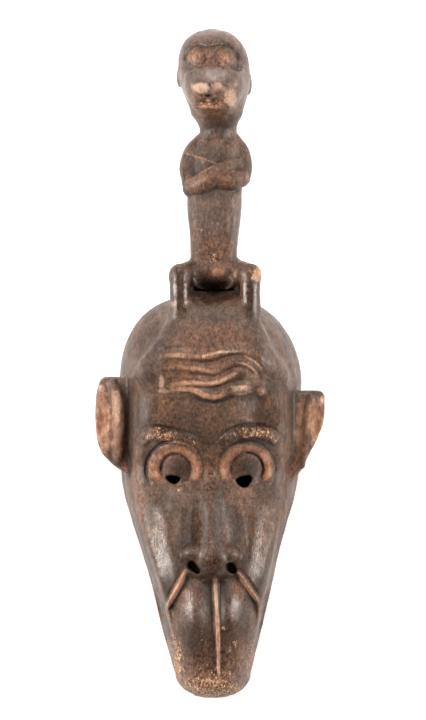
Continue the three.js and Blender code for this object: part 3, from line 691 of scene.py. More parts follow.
def lap_pocket(x, y, z):
    """The pocket between lap and shins: deep at its lip and shallow above, with a slit each way."""
    sides = np.abs(x - LAP_X) - LAP_HALF(y)
    lip = LAP_LIP + 5 * ((x - LAP_X) / 16) ** 2
    ends = np.maximum(lip - y, y - 87.5)
    pocket = smooth_max(smooth_max(sides + 0 * z, ends + 0 * z, 8), LAP_FLOOR(y) - z + 0 * x, 8)
    slit_y = 64.6 + 1.5 * ((x - LAP_X) / 20) ** 2
    slit = np.maximum(np.abs(y - slit_y) - 0.8, np.abs(x - LAP_X) - 18)
    return np.minimum(pocket, np.maximum(slit + 0 * z, 72 - z))


def roughen(carving):
    """The slight waves, flats and pits that hand tools and long use leave on every side."""
    near = np.abs(carving.field) < 5
    i, j, k = np.nonzero(near)
    x, y, z = (axis[index] for axis, index in zip(carving.axes, (i, j, k)))
    waves = 0.45 * noise(x, y / 1.6, z, 17, 11) + 0.22 * noise(x, y, z, 6.5, 12)
    depth_inside = -np.maximum(np.abs(x) - half_width(y) + WALL, z - height(y) + WALL + 4)
    inner = smooth(depth_inside, -4, 3) * smooth(-y, -40, -30)
    gouges = 1.6 * np.abs(noise(x, y / 2.6, z, 11, 13))
    rough = np.maximum(smooth(-y, 258, 288), 0.6 * smooth(y, 66, 76) * smooth(-y, -92, -82))
    pits = rough * (1.3 * np.minimum(noise(x, y, z, 3.4, 14) + 0.2, 0) + 0.5 * noise(x, y, z, 5.5, 15))
    carving.field[i, j, k] += (waves - inner * gouges - pits).astype(np.float32)


def carve_openings(carving):
    carving.cut((-26, 46, 50), (34, 96, FRONT), lap_pocket, 5)
    for eye in EYES:
        (x, y), (wide, tall), tilt = eye["hole"], eye["size"], eye["tilt"]

        def hole(px, py, pz, x=x, y=y, wide=wide, tall=tall, tilt=tilt):
            across = np.abs(px - x + 0.12 * (py - y)) * 2 / wide
            up = (py - y - tilt * (px - x)) * 2 / tall
            narrower = 1 + 0.5 * np.clip(-up, -0.3, 1)
            ragged = 0.7 * noise(px, py, 0 * px, 2.6, 41)
            reach = ((across * narrower) ** 2.4 + np.abs(up) ** 2.4) ** (1 / 2.4)
            return (reach - 1) * tall / 2 + ragged + 0 * pz

        carving.cut((x - 12, y - 12, 40), (x + 12, y + 12, FRONT), hole, 1.0)
    for (x, y), (end_x, end_y) in NOSTRILS:
        top = float(skin_z(x, y))
        for share in (0, 0.5, 1):
            here = (x + share * (end_x - x), y + share * (end_y - y))
            wide = 4.6 - 1.6 * share
            bore = ((*here, top + 22, wide), (*here, top + 4, wide), (*here, top - 6, 3))
            carving.cut(*limb(bore), 1.2)
    carving.cut((-90, -275, -2), (90, 52, 125), hollow, 2)
    roughen(carving)
    carving.field = np.maximum(carving.field, -carving.axes[2][None, None, :])


def surface(field, axes):
    """Points and quads of the field's zero surface: one point in each cell that it passes through."""
    shape = np.array(field.shape)
    inside = field < 0
    total = np.zeros((int(shape.prod()), 3), np.float32)
    count = np.zeros(int(shape.prod()), np.int32)
    stride = np.array((shape[1] * shape[2], shape[2], 1))
    edges = []
    for axis in range(3):
        near = [slice(1, -1)] * 3
        far = [slice(1, -1)] * 3
        far[axis] = slice(2, None)
        crossing = inside[tuple(near)] != inside[tuple(far)]
        at = np.argwhere(crossing) + 1
        here = field[tuple(at.T)]
        there = field[tuple((at + np.eye(3, dtype=int)[axis]).T)]
        point = at.astype(np.float32)
        point[:, axis] += here / (here - there)
        others = [a for a in range(3) if a != axis]
        flat = at @ stride
        around = []
        for back in ((0, 0), (1, 0), (1, 1), (0, 1)):
            cell = flat - back[0] * stride[others[0]] - back[1] * stride[others[1]]
            around.append(cell)
            for k in range(3):
                total[:, k] += np.bincount(cell, point[:, k], minlength=len(count)).astype(np.float32)
            count += np.bincount(cell, minlength=len(count)).astype(np.int32)
        quads = np.stack(around, axis=1)
        flip = (here < 0) == (axis == 1)
        quads[flip] = quads[flip][:, ::-1]
        edges.append(quads)
    used = np.flatnonzero(count)
    points = total[used] / count[used][:, None]
    number = np.full(len(count), -1, np.int64)
    number[used] = np.arange(len(used))
    start = np.array([a[0] for a in axes])
    return points * CELL + start, number[np.concatenate(edges)]


def sample(field, axes, points):
    """The field's value at any points, straight between the grid's."""
    at = (points - np.array([a[0] for a in axes])) / CELL
    limit = np.array(field.shape) - 2
    low = np.clip(np.floor(at).astype(int), 0, limit)
    t = at - low
    value = 0
    for corner in range(8):
        bits = np.array((corner & 1, corner >> 1 & 1, corner >> 2 & 1))
        weight = np.prod(np.where(bits, t, 1 - t), axis=1)
        value = value + weight * field[tuple((low + bits).T)]
    return value


def blurred(field, radius):
    """The field smoothed along each axis by a box of the given half-width in cells."""
    out = field
    size = 2 * radius + 1
    for axis in range(3):
        first = np.repeat(np.take(out, [0], axis), radius + 1, axis)
        last = np.repeat(np.take(out, [-1], axis), radius, axis)
        running = np.cumsum(np.concatenate((first, out, last), axis), axis, dtype=np.float64)
        upper = np.take(running, np.arange(size, running.shape[axis]), axis)
        lower = np.take(running, np.arange(0, running.shape[axis] - size), axis)
        out = ((upper - lower) / size).astype(np.float32)
    return out


def gradient(field, axes, points):
    """The field's slope at any points, by central steps of half a cell."""
    slope = np.empty_like(points)
    for axis in range(3):
        step = np.zeros(3)
        step[axis] = CELL / 2
        slope[:, axis] = (sample(field, axes, points + step) - sample(field, axes, points - step)) / CELL
    return slope


def settle(field, axes, points):
    """Moves points onto the field's zero surface, by less than a cell."""
    for _ in range(SETTLE_ROUNDS):
        slope = gradient(field, axes, points)
        value = sample(field, axes, points)
        move = value / np.maximum((slope**2).sum(axis=1), 0.1)
        points = points - slope * np.clip(move, -0.6 * CELL, 0.6 * CELL)[:, None]
    return points


def make_mesh(name, points, faces):
    mesh = bpy.data.meshes.new(name)
    mesh.vertices.add(len(points))
    mesh.vertices.foreach_set("co", points.astype(np.float32).ravel())
    mesh.loops.add(faces.size)
    mesh.loops.foreach_set("vertex_index", faces.astype(np.int32).ravel())
    mesh.polygons.add(len(faces))
    mesh.polygons.foreach_set("loop_start", np.arange(0, faces.size, faces.shape[1], dtype=np.int32))
    mesh.update(calc_edges=True)
    return mesh


def vertex_array(mesh):
    flat = np.empty(len(mesh.vertices) * 3, np.float32)
    mesh.vertices.foreach_get("co", flat)
    return flat.reshape(-1, 3).astype(np.float64)


def link(data, name):
    thing = bpy.data.objects.new(name, data)
    bpy.context.scene.collection.objects.link(thing)
    return thing


# The frame's origin in the carving's coordinates: the middle of the solid's box, on the floor
BOX_MIDDLE = np.array((-0.4, -1.07, 0.0))


def carved_object(carving):
    points, quads = surface(carving.field, carving.axes)
    points = settle(carving.field, carving.axes, points)
    dense = link(make_mesh("dense", points, quads), "dense")
    fewer = dense.modifiers.new("fewer", "DECIMATE")
    fewer.ratio = MESH_TRIANGLES / (2 * len(quads))
    bpy.context.view_layer.update()
    thinned = bpy.data.meshes.new_from_object(dense.evaluated_get(bpy.context.evaluated_depsgraph_get()))
    bpy.data.objects.remove(dense)
    points = settle(carving.field, carving.axes, vertex_array(thinned))
    normals = gradient(carving.field, carving.axes, points)
    normals /= np.linalg.norm(normals, axis=1)[:, None]
    thinned.vertices.foreach_set("co", ((points - BOX_MIDDLE) / 1000).astype(np.float32).ravel())
    thinned.polygons.foreach_set("use_smooth", np.ones(len(thinned.polygons), bool))
    thinned.update()
    thinned.normals_split_custom_set_from_vertices(normals.astype(np.float32))
    thinned.name = "carved_mask"
    return link(thinned, "carved_mask"), points, normals


# Places of each finish and of the painted shade, highlights and sheen: middle x and y, half sizes and
# strength of each soft patch
# The patch at the figure's right elbow is partly wear and partly a painted highlight
WORN_PATCHES = (
    (-3, 230, 14, 3, 0.4), (-14, 272, 8, 9, 0.35), (15, 272, 9, 8, 0.4), (33, 166, 3, 6, 0.45),
    (-19, 158, 7, 4, 0.4), (40, 80, 6, 8, 0.65), (-27, 84, 7, 5, 0.35), (7, 93, 8, 6, 0.4),
    (4, 108, 9, 12, 0.2), (-10, 121, 4, 6, 0.35), (-33, 52, 4, 5, 0.7), (0, -150, 2, 16, 0.2),
    (-28, -113.5, 3, 3.5, 0.8), (11.5, -236, 3.5, 2.4, 0.8), (3, -283.5, 12, 1.8, 0.8),
    (16, -256, 3, 4, 0.4), (22, -249, 3, 5, 0.4), (0, -292, 42, 15, 0.36), (-31, -275, 6, 18, 1.0),
    (58, -68, 4, 5, 0.5), (44, -26, 6, 5, 0.5), (-54, -95, 3, 12, 0.6), (-54, -66, 5, 4, 0.5),
    (-42, -66, 7, 3.5, 0.55), (-31, -67, 5, 3, 0.5), (-14, -70.5, 4, 3, 0.6), (44, -62, 14, 5, 0.55),
    (-16, 118, 2, 6, 0.35), (6, 124, 14, 4, 0.2), (-83, -38, 4, 22, 0.45), (-43, -22, 3, 5, 0.6),
    (28, -22, 12, 4, 0.6),
)
# Bare worn wood; the patches at the figure's right elbow and at its cheek near x 18 are partly painted
# highlights
RAW_PATCHES = (
    (-97, -53, 8, 30, 1.0), (96, -56, 8, 24, 0.75), (101.5, -33, 3, 4, 1.0), (-98, -23, 4, 4, 1.0),
    (-9, 245, 9, 5.5, 1.2), (7, 246, 6, 5, 0.95), (18, 236, 8, 10, 0.5), (-4, 228.6, 13, 2.4, 0.6),
    (-84, -52, 9, 38, 0.6), (-2, 234.4, 2.4, 2, 0.9), (-16, 236, 4, 8, 0.5), (82, -58, 8, 30, 0.6),
    (88, -42, 3, 12, 0.5), (-13.5, 272, 9, 10, 0.46), (13.4, 272, 9, 10, 0.46), (42, 79, 5, 8, 0.7),
    (-33, 52, 3, 3, 0.8), (6, 81, 7, 5, 0.7), (20, 76, 4, 8, 0.25), (33, 167, 2.5, 7, 0.4),
    (-30, -276, 4, 12, 0.6), (45.5, -25.5, 6, 5, 0.5), (3, -283.5, 11, 1.8, 0.8), (-51, -240, 6, 34, 0.5),
    (52, -240, 6, 34, 0.45), (35, -279, 4, 4, 0.6),
)
# Painted shade and darker wood: shade beside and under the nose, under the figure's chin, below the
# wrinkles, above the eye rings, in the lip's grooves and the lap, and darker tone on the forehead, crown,
# torso and eyeballs
SHADE_AND_DARK_PATCHES = (
    (-13, -238, 14, 26, 0.6), (20, -238, 14, 24, 0.6), (11, -204, 5, 22, 0.9), (-4, -205, 5, 22, 0.8),
    (-17, -148, 7, 26, 0.8), (22, -148, 7, 24, 0.7), (-12, -130, 5, 30, 0.5), (0, -118, 14, 14, 0.3),
    (-60, -60, 14, 20, 0.4), (56, -60, 12, 20, 0.4), (30, 125, 8, 30, 0.2), (-5, 103, 14, 20, 0.25),
    (5, 211, 18, 8, 0.65), (3, 62, 12, 6, 0.9), (-10, 172, 12, 8, 0.5), (2, 150, 20, 5, 0.9),
    (24, -10, 20, 5, 0.7), (20, 4, 18, 4, 0.6), (2, -183, 20, 8, 0.8), (-31, -78, 26, 5, 0.5),
    (32, -76, 26, 5, 0.5), (-40, -196, 5, 12, 0.6), (44, -196, 5, 12, 0.7), (0, -70, 12, 12, 0.5),
    (0, 62, 60, 5, 0.5), (-36, -250, 8, 16, 0.5), (4, -262, 22, 12, 0.4), (-30.6, -93, 11, 9, 0.6),
    (32.6, -93, 12, 9, 0.6), (-59, -88, 4, 22, 0.5), (60, -90, 4, 22, 0.4), (1, -160, 19, 28, 0.5),
    (2, -179, 11, 9, 0.75), (2, 44, 40, 14, 0.5), (2, 30, 44, 12, 0.2), (4, 112, 17, 26, 0.3),
    (-27, 60, 9, 18, 0.6), (35, 60, 9, 18, 0.5), (-1, 234, 12, 4, 0.5), (3, 60, 12, 9, 1.0),
    (-27, 79, 7, 7, 0.5), (14, -72, 6, 9, 0.7), (24, -64, 8, 5, 0.5), (7, 242, 4, 3, 0.7),
    (28, -17, 14, 4, 0.9), (-6, 250, 4, 3, 0.4), (-12, -64, 12, 5, 0.4), (-50, -44, 20, 20, 0.25),
    (-60, 34, 20, 26, 0.45), (62, 34, 20, 20, 0.15), (68, -150, 14, 60, 0.5), (62, -170, 8, 40, 0.5),
    (-16, 176, 10, 9, 0.75), (2, 118, 16, 8, 0.45), (24, 90, 6, 6, 0.5), (-15, 92, 6, 6, 0.5),
    (-53, 2, 14, 26, 0.65), (58, 0, 9, 24, 0.35), (68, -118, 6, 20, 0.85), (12, -186, 8, 5, 0.6),
    (-8, -186, 6, 5, 0.6), (2, -146, 9, 30, 0.5), (29, -234, 9, 18, 0.85), (12, -228, 6, 18, 0.7),
    (-4, -226, 6, 18, 0.7), (34, -146, 8, 24, 0.4), (26, 172, 16, 12, 0.5), (-15, 180, 10, 8, 0.3),
    (-40, -6, 10, 26, 0.3),
)
# Painted shade inside the lap pocket
POCKET_SHADE_PATCHES = ((-14, 68, 8, 12, 0.9), (21, 64, 6, 9, 0.8), (3, 60, 20, 8, 1.0))
UNWORN_PATCHES = ((3, 66, 26, 11, 1.0),)
# Places where the painted shade is lessened: the wrinkles' valleys and inside the figure's hood
LESS_SHADE_PATCHES = ((0, 272, 25, 12, 1.0), (0, -6, 50, 24, 1.0))
RUDDY_PATCHES = (
    (-97, -55, 9, 34, 1.0), (98, -60, 8, 27, 0.9), (-74, -115, 8, 30, 0.9), (-66, -150, 8, 40, 0.9),
    (70, -140, 8, 60, 0.9), (2, 235, 26, 16, 0.7), (4, 100, 18, 30, 0.4), (30, -125, 14, 18, 0.4),
    (-26, -205, 8, 14, 0.5), (1, -142, 3, 50, 0.45), (10, -90, 14, 30, 0.2), (4, 20, 40, 24, 0.4),
    (-60, 10, 16, 34, 0.2), (62, 6, 14, 34, 0.2), (0, -6, 46, 20, 0.35), (0, 272, 25, 11, 0.55),
    (20, 168, 16, 10, 0.5), (-8, 165, 16, 10, 0.4), (0, -275, 44, 26, 0.4), (24, -240, 16, 30, 0.3),
    (28, -202, 9, 12, 0.6),
)
# Painted sheen and highlights on the figure's muzzle, head, cheeks and trunk, on the lip's lobes, the
# left cheek and the nose's wing
PAINTED_SHEEN_PATCHES = (
    (3, 257, 26, 7, 1.0), (-20, 240, 12, 16, 0.5), (28, 246, 12, 20, 0.45), (2, 295, 28, 9, 0.6),
    (-16, -217, 7, 15, 0.5), (20.5, -220, 6, 9, 0.8), (-44, -158, 8, 34, 0.5), (26, 120, 5, 40, 0.4),
    (-28, 268, 5, 24, 0.5), (2, 134, 20, 26, 0.4), (2, 245, 20, 12, 0.5), (-15, -168, 8, 5, 0.3),
    (8, 207, 10, 5, 0.3),
)
# Pale worn wood and painted highlights, such as the glint at the left end of the wrinkles and the sheen
# on the figure's cheek
PALE_AND_HIGHLIGHT_PATCHES = (
    (-43.5, -16, 2.6, 9, 0.5), (-41, -25, 6, 2.6, 0.45), (-83, -38, 3, 20, 0.5), (27, -24, 10, 5, 0.5),
    (-8.5, 245, 8, 4.5, 1.1), (7, 247, 5, 3.5, 0.5), (18, 236, 7, 9, 0.7), (45, 80, 3, 6, 0.4),
    (36, -14, 9, 8, 0.35), (16, 124, 2, 16, 0.3),
)
GRAINY_PATCHES = (
    (2, -140, 16, 56, 0.7), (-12, -215, 16, 26, 0.4), (24, -218, 18, 30, 0.4), (0, 172, 32, 18, 0.2),
    (4, 204, 20, 14, 0.6), (-98, -55, 12, 34, 0.8), (0, -270, 44, 30, 0.6), (-14, 268, 12, 12, 1.0),
    (14, 268, 12, 12, 1.0), (0, 236, 22, 14, 0.8), (2, 120, 20, 40, 0.15),
)
DULL_PATCHES = (
    (-40, -46, 20, 22, 1.0), (50, -46, 16, 22, 1.0), (0, -100, 22, 30, 0.6), (-50, -6, 12, 30, 0.5),
    (-14, 126, 6, 40, 0.45), (22, 126, 6, 40, 0.05), (90, -60, 10, 30, 0.6), (-90, -60, 10, 30, 0.5),
    (2, -178, 12, 12, 1.0), (-26, -10, 20, 24, 0.5), (-13, -148, 6, 26, 1.0), (-58, 34, 18, 26, 0.5),
    (66, -150, 10, 50, 0.5), (-50, -240, 8, 36, 1.1), (52, -240, 8, 36, 1.1), (4, 64, 26, 12, 1.3),
)
GLOSSY_PATCHES = (
    (-43, -160, 11, 42, 1.0), (41, -165, 9, 36, 1.0), (-27, 62, 12, 20, 1.6), (35, 62, 12, 20, 1.6),
    (-18, -219, 10, 24, 1.0), (19, -223, 8, 18, 1.2), (3, 258, 24, 8, 0.8), (-15, -168, 10, 10, 0.7),
    (16, -170, 6, 8, 0.8), (0, 290, 30, 14, 0.7), (-24, 250, 8, 30, 0.8), (30, 250, 8, 30, 0.6),
)
ROUGH_PATCHES = (
    (3, -296, 50, 14, 1.0), (-34, -268, 12, 34, 0.9), (38, -270, 8, 26, 0.7), (4, -274, 24, 12, 0.6),
    (19, -252, 6, 9, 0.4), (-8, -246, 10, 12, 0.5), (2, 232, 18, 12, 0.4), (3, 130, 14, 50, 0.35),
    (3, -170, 8, 26, 0.3), (-1, 240, 16, 12, 0.35), (-42, -67, 16, 6, 0.35), (46, -64, 17, 7, 0.35),
    (-83, -38, 4, 22, 0.5),
)
# Painted highlights along the crests of the wrinkles and the philtrum, partly pale worn wood
PALE_AND_HIGHLIGHT_LINES = (
    ((-7.7, 5.9), (3.2, 8.6), (14, 10.4), (24.8, 10.4)),
    ((30.2, 6.8), (39.2, 1.4), (46.4, -5)),
    ((-16.6, -17.6), (-3.2, -18.5), (9.5, -15.8), (23, -9)),
    ((18.5, -27), (28.4, -27), (37.4, -25.2)),
    ((18.5, -21.6), (31, -20.7), (38.3, -22)),
    ((23, 0.5), (32, -1.4), (40, -7.7), (42.8, -14.9)),
    ((4.4, -196), (5.2, -212), (5.8, -224)),
    ((6.4, -262), (6.7, -269), (6.9, -276)),
)
# Drawn lines of each finish and of painted highlights and shade: the path, its width and its strength
PALE_AND_HIGHLIGHT_STROKES = [(path, 2.0, 0.55) for path in PALE_AND_HIGHLIGHT_LINES]
RAW_STROKES = (
    (LIP_EDGES[0], 3.6, 1.2), (LIP_EDGES[1], 3.0, 1.1),
    (PHILTRUM[:4], 2.8, 1.05), (PHILTRUM[2:], 1.9, 0.95),
    (((-42.8, 5.9), (-32, 7.2), (-20.3, 5.9), (-6, 5.6)), 3.8, 0.65),
    (((-44.6, -5), (-31, -3.2), (-18.5, -4.1), (-6.8, -5.9), (2.3, -8.1), (10.4, -5), (19.4, 0.5)),
     3.8, 0.6),
    (((-41, -20.3), (-27.5, -18.5), (-14.9, -17.6), (-3.2, -18.5), (9.5, -15.8), (23, -9)), 3.8, 0.85),
    (((-34.7, -23.9), (-23, -23), (-13, -24.8), (-4, -29.3), (5.9, -30.2), (14, -26.6)), 3.8, 1.0),
)
WORN_STROKES = [(path, 4.6, 0.4) for path in WRINKLES] + [(path, 7.5, 0.52) for path in BROWS]
BROW_SHADOWS = [(path, 3.0, 0.8) for path in BROWS]
# Raw wood colour along the thin edges of the arms' gap: wear and a painted highlight
ARM_GAP_WEAR_AND_HIGHLIGHTS = ((ARM_GAP[:2], 1.6, 0.7), (ARM_GAP[1:], 1.6, 0.7))


def patches(x, y, places):
    """The strongest of several ragged soft patches at each point."""
    total = np.zeros_like(x)
    ragged = 0.3 * noise(x, y, 0 * x, 5, 21) + 0.2 * noise(x, y, 0 * x, 2.4, 22)
    for px, py, wide, tall, strength in places:
        reach = np.hypot((x - px) / wide, (y - py) / tall) + ragged
        total = np.maximum(total, strength * smooth(-reach, -1.25, -0.45))
    return total


def stroke(x, y, path, width):
    gap, along, _ = line_distance(x, y, path)
    broken = 0.3 * noise(x, y, 0 * x, 4.5, 23) + 0.15 * noise(x, y, 0 * x, 2, 24)
    line = smooth(-gap * (1 + broken), -width, -0.3 * width)
    return line * tapered(along, 0.2) * (1 + np.minimum(broken, 0))


def strokes(x, y, lines):
    """The strongest of several drawn lines at each point."""
    total = 0 * x
    for path, width, strength in lines:
        total = np.maximum(total, strength * stroke(x, y, path, width))
    return total


def finish_and_painted_light_layers(carving, points, normals):
    """How worn, darkened, ruddy, glossy, raw and so on the wood is at each point of the mesh, with the
    shade, highlights and sheen painted on it.
    """
    x, y, z = points.T
    front = smooth(normals[:, 2], 0.1, 0.5) * smooth(z, 30, 50)
    edge = sample(blurred(carving.field, 1), carving.axes, points)
    broad = sample(blurred(carving.field, 5), carving.axes, points)
    crest = 0 * x
    for eye in EYES:
        radius = np.hypot(x - eye["x"], y - eye["y"])
        band = hill(radius, eye["ring"] + eye["crest"], 4.6) * smooth(y, eye["y"] - 14, eye["y"] - 6)
        crest = np.maximum(crest, eye["ruddy"] * band * (1 + 0.4 * noise(x, y, 0 * x, 9, 25)))
    worn = np.maximum(np.maximum(patches(x, y, WORN_PATCHES), strokes(x, y, WORN_STROKES)), 0.3 * crest)
    worn = np.maximum(0.6 * smooth(edge, 0.15, 0.6), worn * front) * (1 - patches(x, y, UNWORN_PATCHES))
    raw = np.maximum(np.maximum(patches(x, y, RAW_PATCHES), strokes(x, y, RAW_STROKES)), 0.45 * crest)
    raw = raw * smooth(normals[:, 2], -0.1, 0.3) * smooth(z, 30, 42)
    # Worn edges and painted highlights along the arms' gap
    raw = np.maximum(raw, strokes(x, y, ARM_GAP_WEAR_AND_HIGHLIGHTS) * (y > 140) * front)
    # Painted shade and darker wood from the patches, and a painted shadow along a line just above each
    # brow
    shade_and_dark = np.maximum(patches(x, y, SHADE_AND_DARK_PATCHES), strokes(x, y - 4.5, BROW_SHADOWS))
    # Painted shade in the hollows and creases, where the smoothed field curves inwards
    shade_and_dark = np.maximum(smooth(-broad, 0.1, 1.6), shade_and_dark * front)
    # Less painted shade in the creases beside the ears
    shade_and_dark = shade_and_dark * (1 - 0.75 * smooth(np.abs(x), 74, 78) * smooth(y, -112, -100) * smooth(-y, 5, 15))
    # Less painted shade in the wrinkles' valleys and inside the figure's hood
    shade_and_dark = shade_and_dark * (1 - 0.9 * patches(x, y, LESS_SHADE_PATCHES))
    # Painted shade along the groove under the figure's hood line
    shade_and_dark = np.maximum(shade_and_dark, 0.8 * stroke(x, y, HOOD, 1.7) * front)
    # Painted shade in the lap pocket
    shade_and_dark = np.maximum(shade_and_dark, patches(x, y, POCKET_SHADE_PATCHES) * smooth(z, 50, 60))
    # Painted shade in the rings cut round the figure's eyes
    for ex, ey, wide, tall in FIGURE_EYES:
        reach = np.hypot((x - ex) / wide, (y - ey) / tall)
        shade_and_dark = np.maximum(shade_and_dark, 0.6 * hill(reach, 1.0, 0.1) + 0.35 * hill(reach, 0.55, 0.08))
    # Pale worn wood and painted highlights
    pale_and_highlight = np.maximum(patches(x, y, PALE_AND_HIGHLIGHT_PATCHES), strokes(x, y, PALE_AND_HIGHLIGHT_STROKES))
    return {
        "worn": worn,
        "shade_and_dark": shade_and_dark,
        "ruddy": np.maximum(patches(x, y, RUDDY_PATCHES), crest) * front,
        "glossy": patches(x, y, GLOSSY_PATCHES) * smooth(z, 30, 50),
        "raw": raw,
        "rough": patches(x, y, ROUGH_PATCHES),
        "pale_and_highlight": pale_and_highlight * front,
        "dull": patches(x, y, DULL_PATCHES),
        "painted_sheen": patches(x, y, PAINTED_SHEEN_PATCHES) * smooth(z, 40, 60),
        "grainy": patches(x, y, GRAINY_PATCHES),
    }


def store(mesh, layers):
    for name, values in layers.items():
        layer = mesh.attributes.new(name, "FLOAT", "POINT")
        layer.data.foreach_set("value", values.astype(np.float32))


class Nodes:
    """Short calls that add shader nodes and return the socket that carries their result."""

    def __init__(self, owner, last):
        owner.use_nodes = True
        self.tree = owner.node_tree
        self.last = self.tree.nodes[last]

    def fill(self, node, inputs):
        for name, value in inputs.items():
            if isinstance(value, bpy.types.NodeSocket):
                self.tree.links.new(value, node.inputs[name])
            else:
                node.inputs[name].default_value = value

    def finish(self, inputs):
        self.fill(self.last, inputs)

    def add(self, kind, output, inputs, **settings):
        node = self.tree.nodes.new("ShaderNode" + kind)
        for name, value in settings.items():
            setattr(node, name, value)
        self.fill(node, inputs)
        return node.outputs[output]

    def layer(self, name):
        return self.add("Attribute", "Fac", {}, attribute_name=name)

    def noise(self, sizes, detail, roughness, distortion=0.0):
        """Noise whose bumps are about the given sizes in millimetres along X, Y and Z."""
        place = self.add("TexCoord", "Object", {})
        mapped = self.add("Mapping", "Vector", {"Vector": place, "Scale": [1000 / s for s in sizes]})
        settings = {"Scale": 1.0, "Detail": detail, "Roughness": roughness, "Distortion": distortion}
        return self.add("TexNoise", "Fac", {"Vector": mapped, **settings})

    def chained(self, kind, values):
        total = values[0]
        for value in values[1:]:
            total = self.add("Math", "Value", {0: total, 1: value}, operation=kind)
        return total

    def plus(self, *values):
        return self.chained("ADD", values)

    def minus(self, *values):
        return self.chained("SUBTRACT", values)

    def times(self, *values):
        return self.chained("MULTIPLY", values)

    def most(self, *values):
        return self.chained("MAXIMUM", values)

    def between(self, value, low, high, to_low=0.0, to_high=1.0):
        limits = {"From Min": low, "From Max": high, "To Min": to_low, "To Max": to_high}
        return self.add("MapRange", "Result", {"Value": value, **limits}, interpolation_type="SMOOTHSTEP")

    def scaled(self, shade, factor):
        """A colour made darker or lighter by a factor."""
        return self.add("VectorMath", "Vector", {0: shade, "Scale": factor}, operation="SCALE")

    def mix(self, share, a, b):
        return self.add("Mix", "Result", {"Factor": share, "A": a, "B": b}, data_type="RGBA")


def colour(red, green, blue):
    """A colour given as it looks on a screen, from 0 to 255, as the shader needs it."""
    parts = [v / 255 for v in (red, green, blue)]
    return (*[((p + 0.055) / 1.055) ** 2.4 if p > 0.04 else p / 12.92 for p in parts], 1.0)


BUMP_DEPTH = 0.0007


def carved_wood():
    material = bpy.data.materials.new("carved_wood")
    n = Nodes(material, "Principled BSDF")
    large = n.noise((26, 34, 26), 4, 0.6)
    tint = n.noise((17, 20, 17), 3, 0.6)
    middle = n.noise((5, 9, 5), 4, 0.65)
    small = n.noise((2.6, 3.8, 2.6), 2, 0.6)
    fine = n.noise((1.7, 2.9, 1.7), 1, 0.6)
    crumbs = n.noise((1.3, 1.7, 1.3), 1, 0.6)
    grain = n.noise((1.3, 22, 3), 3, 0.6)
    flecks = n.noise((1.5, 4.2, 1.5), 2, 0.5, 1.5)
    specks = n.noise((2.1, 2.4, 2.1), 1, 0.5)
    names = ("worn", "shade_and_dark", "ruddy", "glossy", "raw", "rough", "pale_and_highlight", "dull", "painted_sheen", "grainy")
    worn, shade_and_dark, ruddy, glossy, raw, rough, pale_and_highlight, dull, painted_sheen, grainy = (n.layer(name) for name in names)

    # How far the worn skin is rubbed away, and the bare wood that it then shows
    crumbled = n.times(rough, n.between(crumbs, 0.35, 0.65, -0.1, 1.0))
    rubbed = n.plus(worn, n.plus(n.times(fine, 0.8), n.times(middle, 0.8)), crumbled)
    bare = n.between(rubbed, 1.35, 1.8)
    bare_tone = n.mix(n.between(fine, 0.42, 0.6), colour(174, 126, 94), colour(212, 170, 132))
    raw_tone = n.mix(n.between(middle, 0.36, 0.62), colour(198, 152, 124), colour(158, 112, 84))
    blotchy = n.between(middle, 0.3, 0.7, 1.0, 0.7)
    base = n.mix(n.between(large, 0.36, 0.66), colour(76, 54, 41), colour(114, 82, 61))
    for share, tone in (
        (n.between(tint, 0.5, 0.66, 0.0, 0.5), colour(88, 72, 54)),
        (n.between(middle, 0.42, 0.66, 0.0, 0.55), colour(60, 43, 37)),
        (n.between(grain, 0.48, 0.72, 0.0, 0.3), colour(52, 37, 31)),
        (n.times(ruddy, n.between(middle, 0.35, 0.65, 0.95, 0.4)), colour(150, 102, 79)),
        # Painted shade and darker wood, blotchy
        (n.times(shade_and_dark, blotchy), colour(34, 25, 22)),
        (n.between(rubbed, 1.12, 1.6, 0.0, 0.85), colour(138, 96, 73)),
        (bare, bare_tone),
        (n.between(n.plus(raw, n.times(small, 0.4)), 0.4, 1.1), raw_tone),
        # Pale worn wood and painted highlights
        (n.between(n.plus(pale_and_highlight, n.times(small, 0.3)), 0.2, 1.2), colour(228, 190, 163)),
        # Painted sheen: a grey-mauve highlight colour
        (n.times(painted_sheen, blotchy), colour(122, 101, 92)),
    ):
        base = n.mix(share, base, tone)

    # Fine light and dark, held back where the wood is even
    pits = n.times(n.between(small, 0.6, 0.68, 1.0, 0.6), n.between(specks, 0.68, 0.76, 1.0, 1.5))
    bright = n.times(n.between(fine, 0.3, 0.7, 0.71, 1.31), n.between(small, 0.3, 0.7, 1.2, 0.8))
    bright = n.times(bright, n.between(flecks, 0.58, 0.7, 1.02, 0.68), pits)
    even = n.most(painted_sheen, raw, pale_and_highlight)
    contrast = n.times(n.between(even, 0, 1, 1, 0.3), n.between(grainy, 0, 1, 1, 1.6))
    bright = n.plus(1.0, n.times(n.minus(bright, 1.0), contrast))

    duller = ((bare, 0.14), (shade_and_dark, 0.08), (rough, 0.15), (ruddy, 0.1), (dull, 0.12), (glossy, -0.16))
    heights = ((fine, 0.9), (middle, 0.8), (small, -0.7), (grain, 0.5))
    sheen = n.between(middle, 0.35, 0.65, 0.38, 0.52)
    bump = {
        "Strength": n.between(rough, 0.0, 1.0, 0.28, 0.9),
        "Distance": BUMP_DEPTH,
        "Height": n.plus(*(n.times(*pair) for pair in heights)),
    }
    n.finish({
        "Base Color": n.scaled(base, bright),
        "Roughness": n.plus(sheen, *(n.times(*pair) for pair in duller)),
        "Specular IOR Level": n.between(n.most(ruddy, n.times(dull, 1.6)), 0.0, 1.6, 0.55, 0.08),
        "Specular Tint": (1.0, 0.93, 0.87, 1.0),
        "Normal": n.add("Bump", "Normal", bump),
    })
    return material


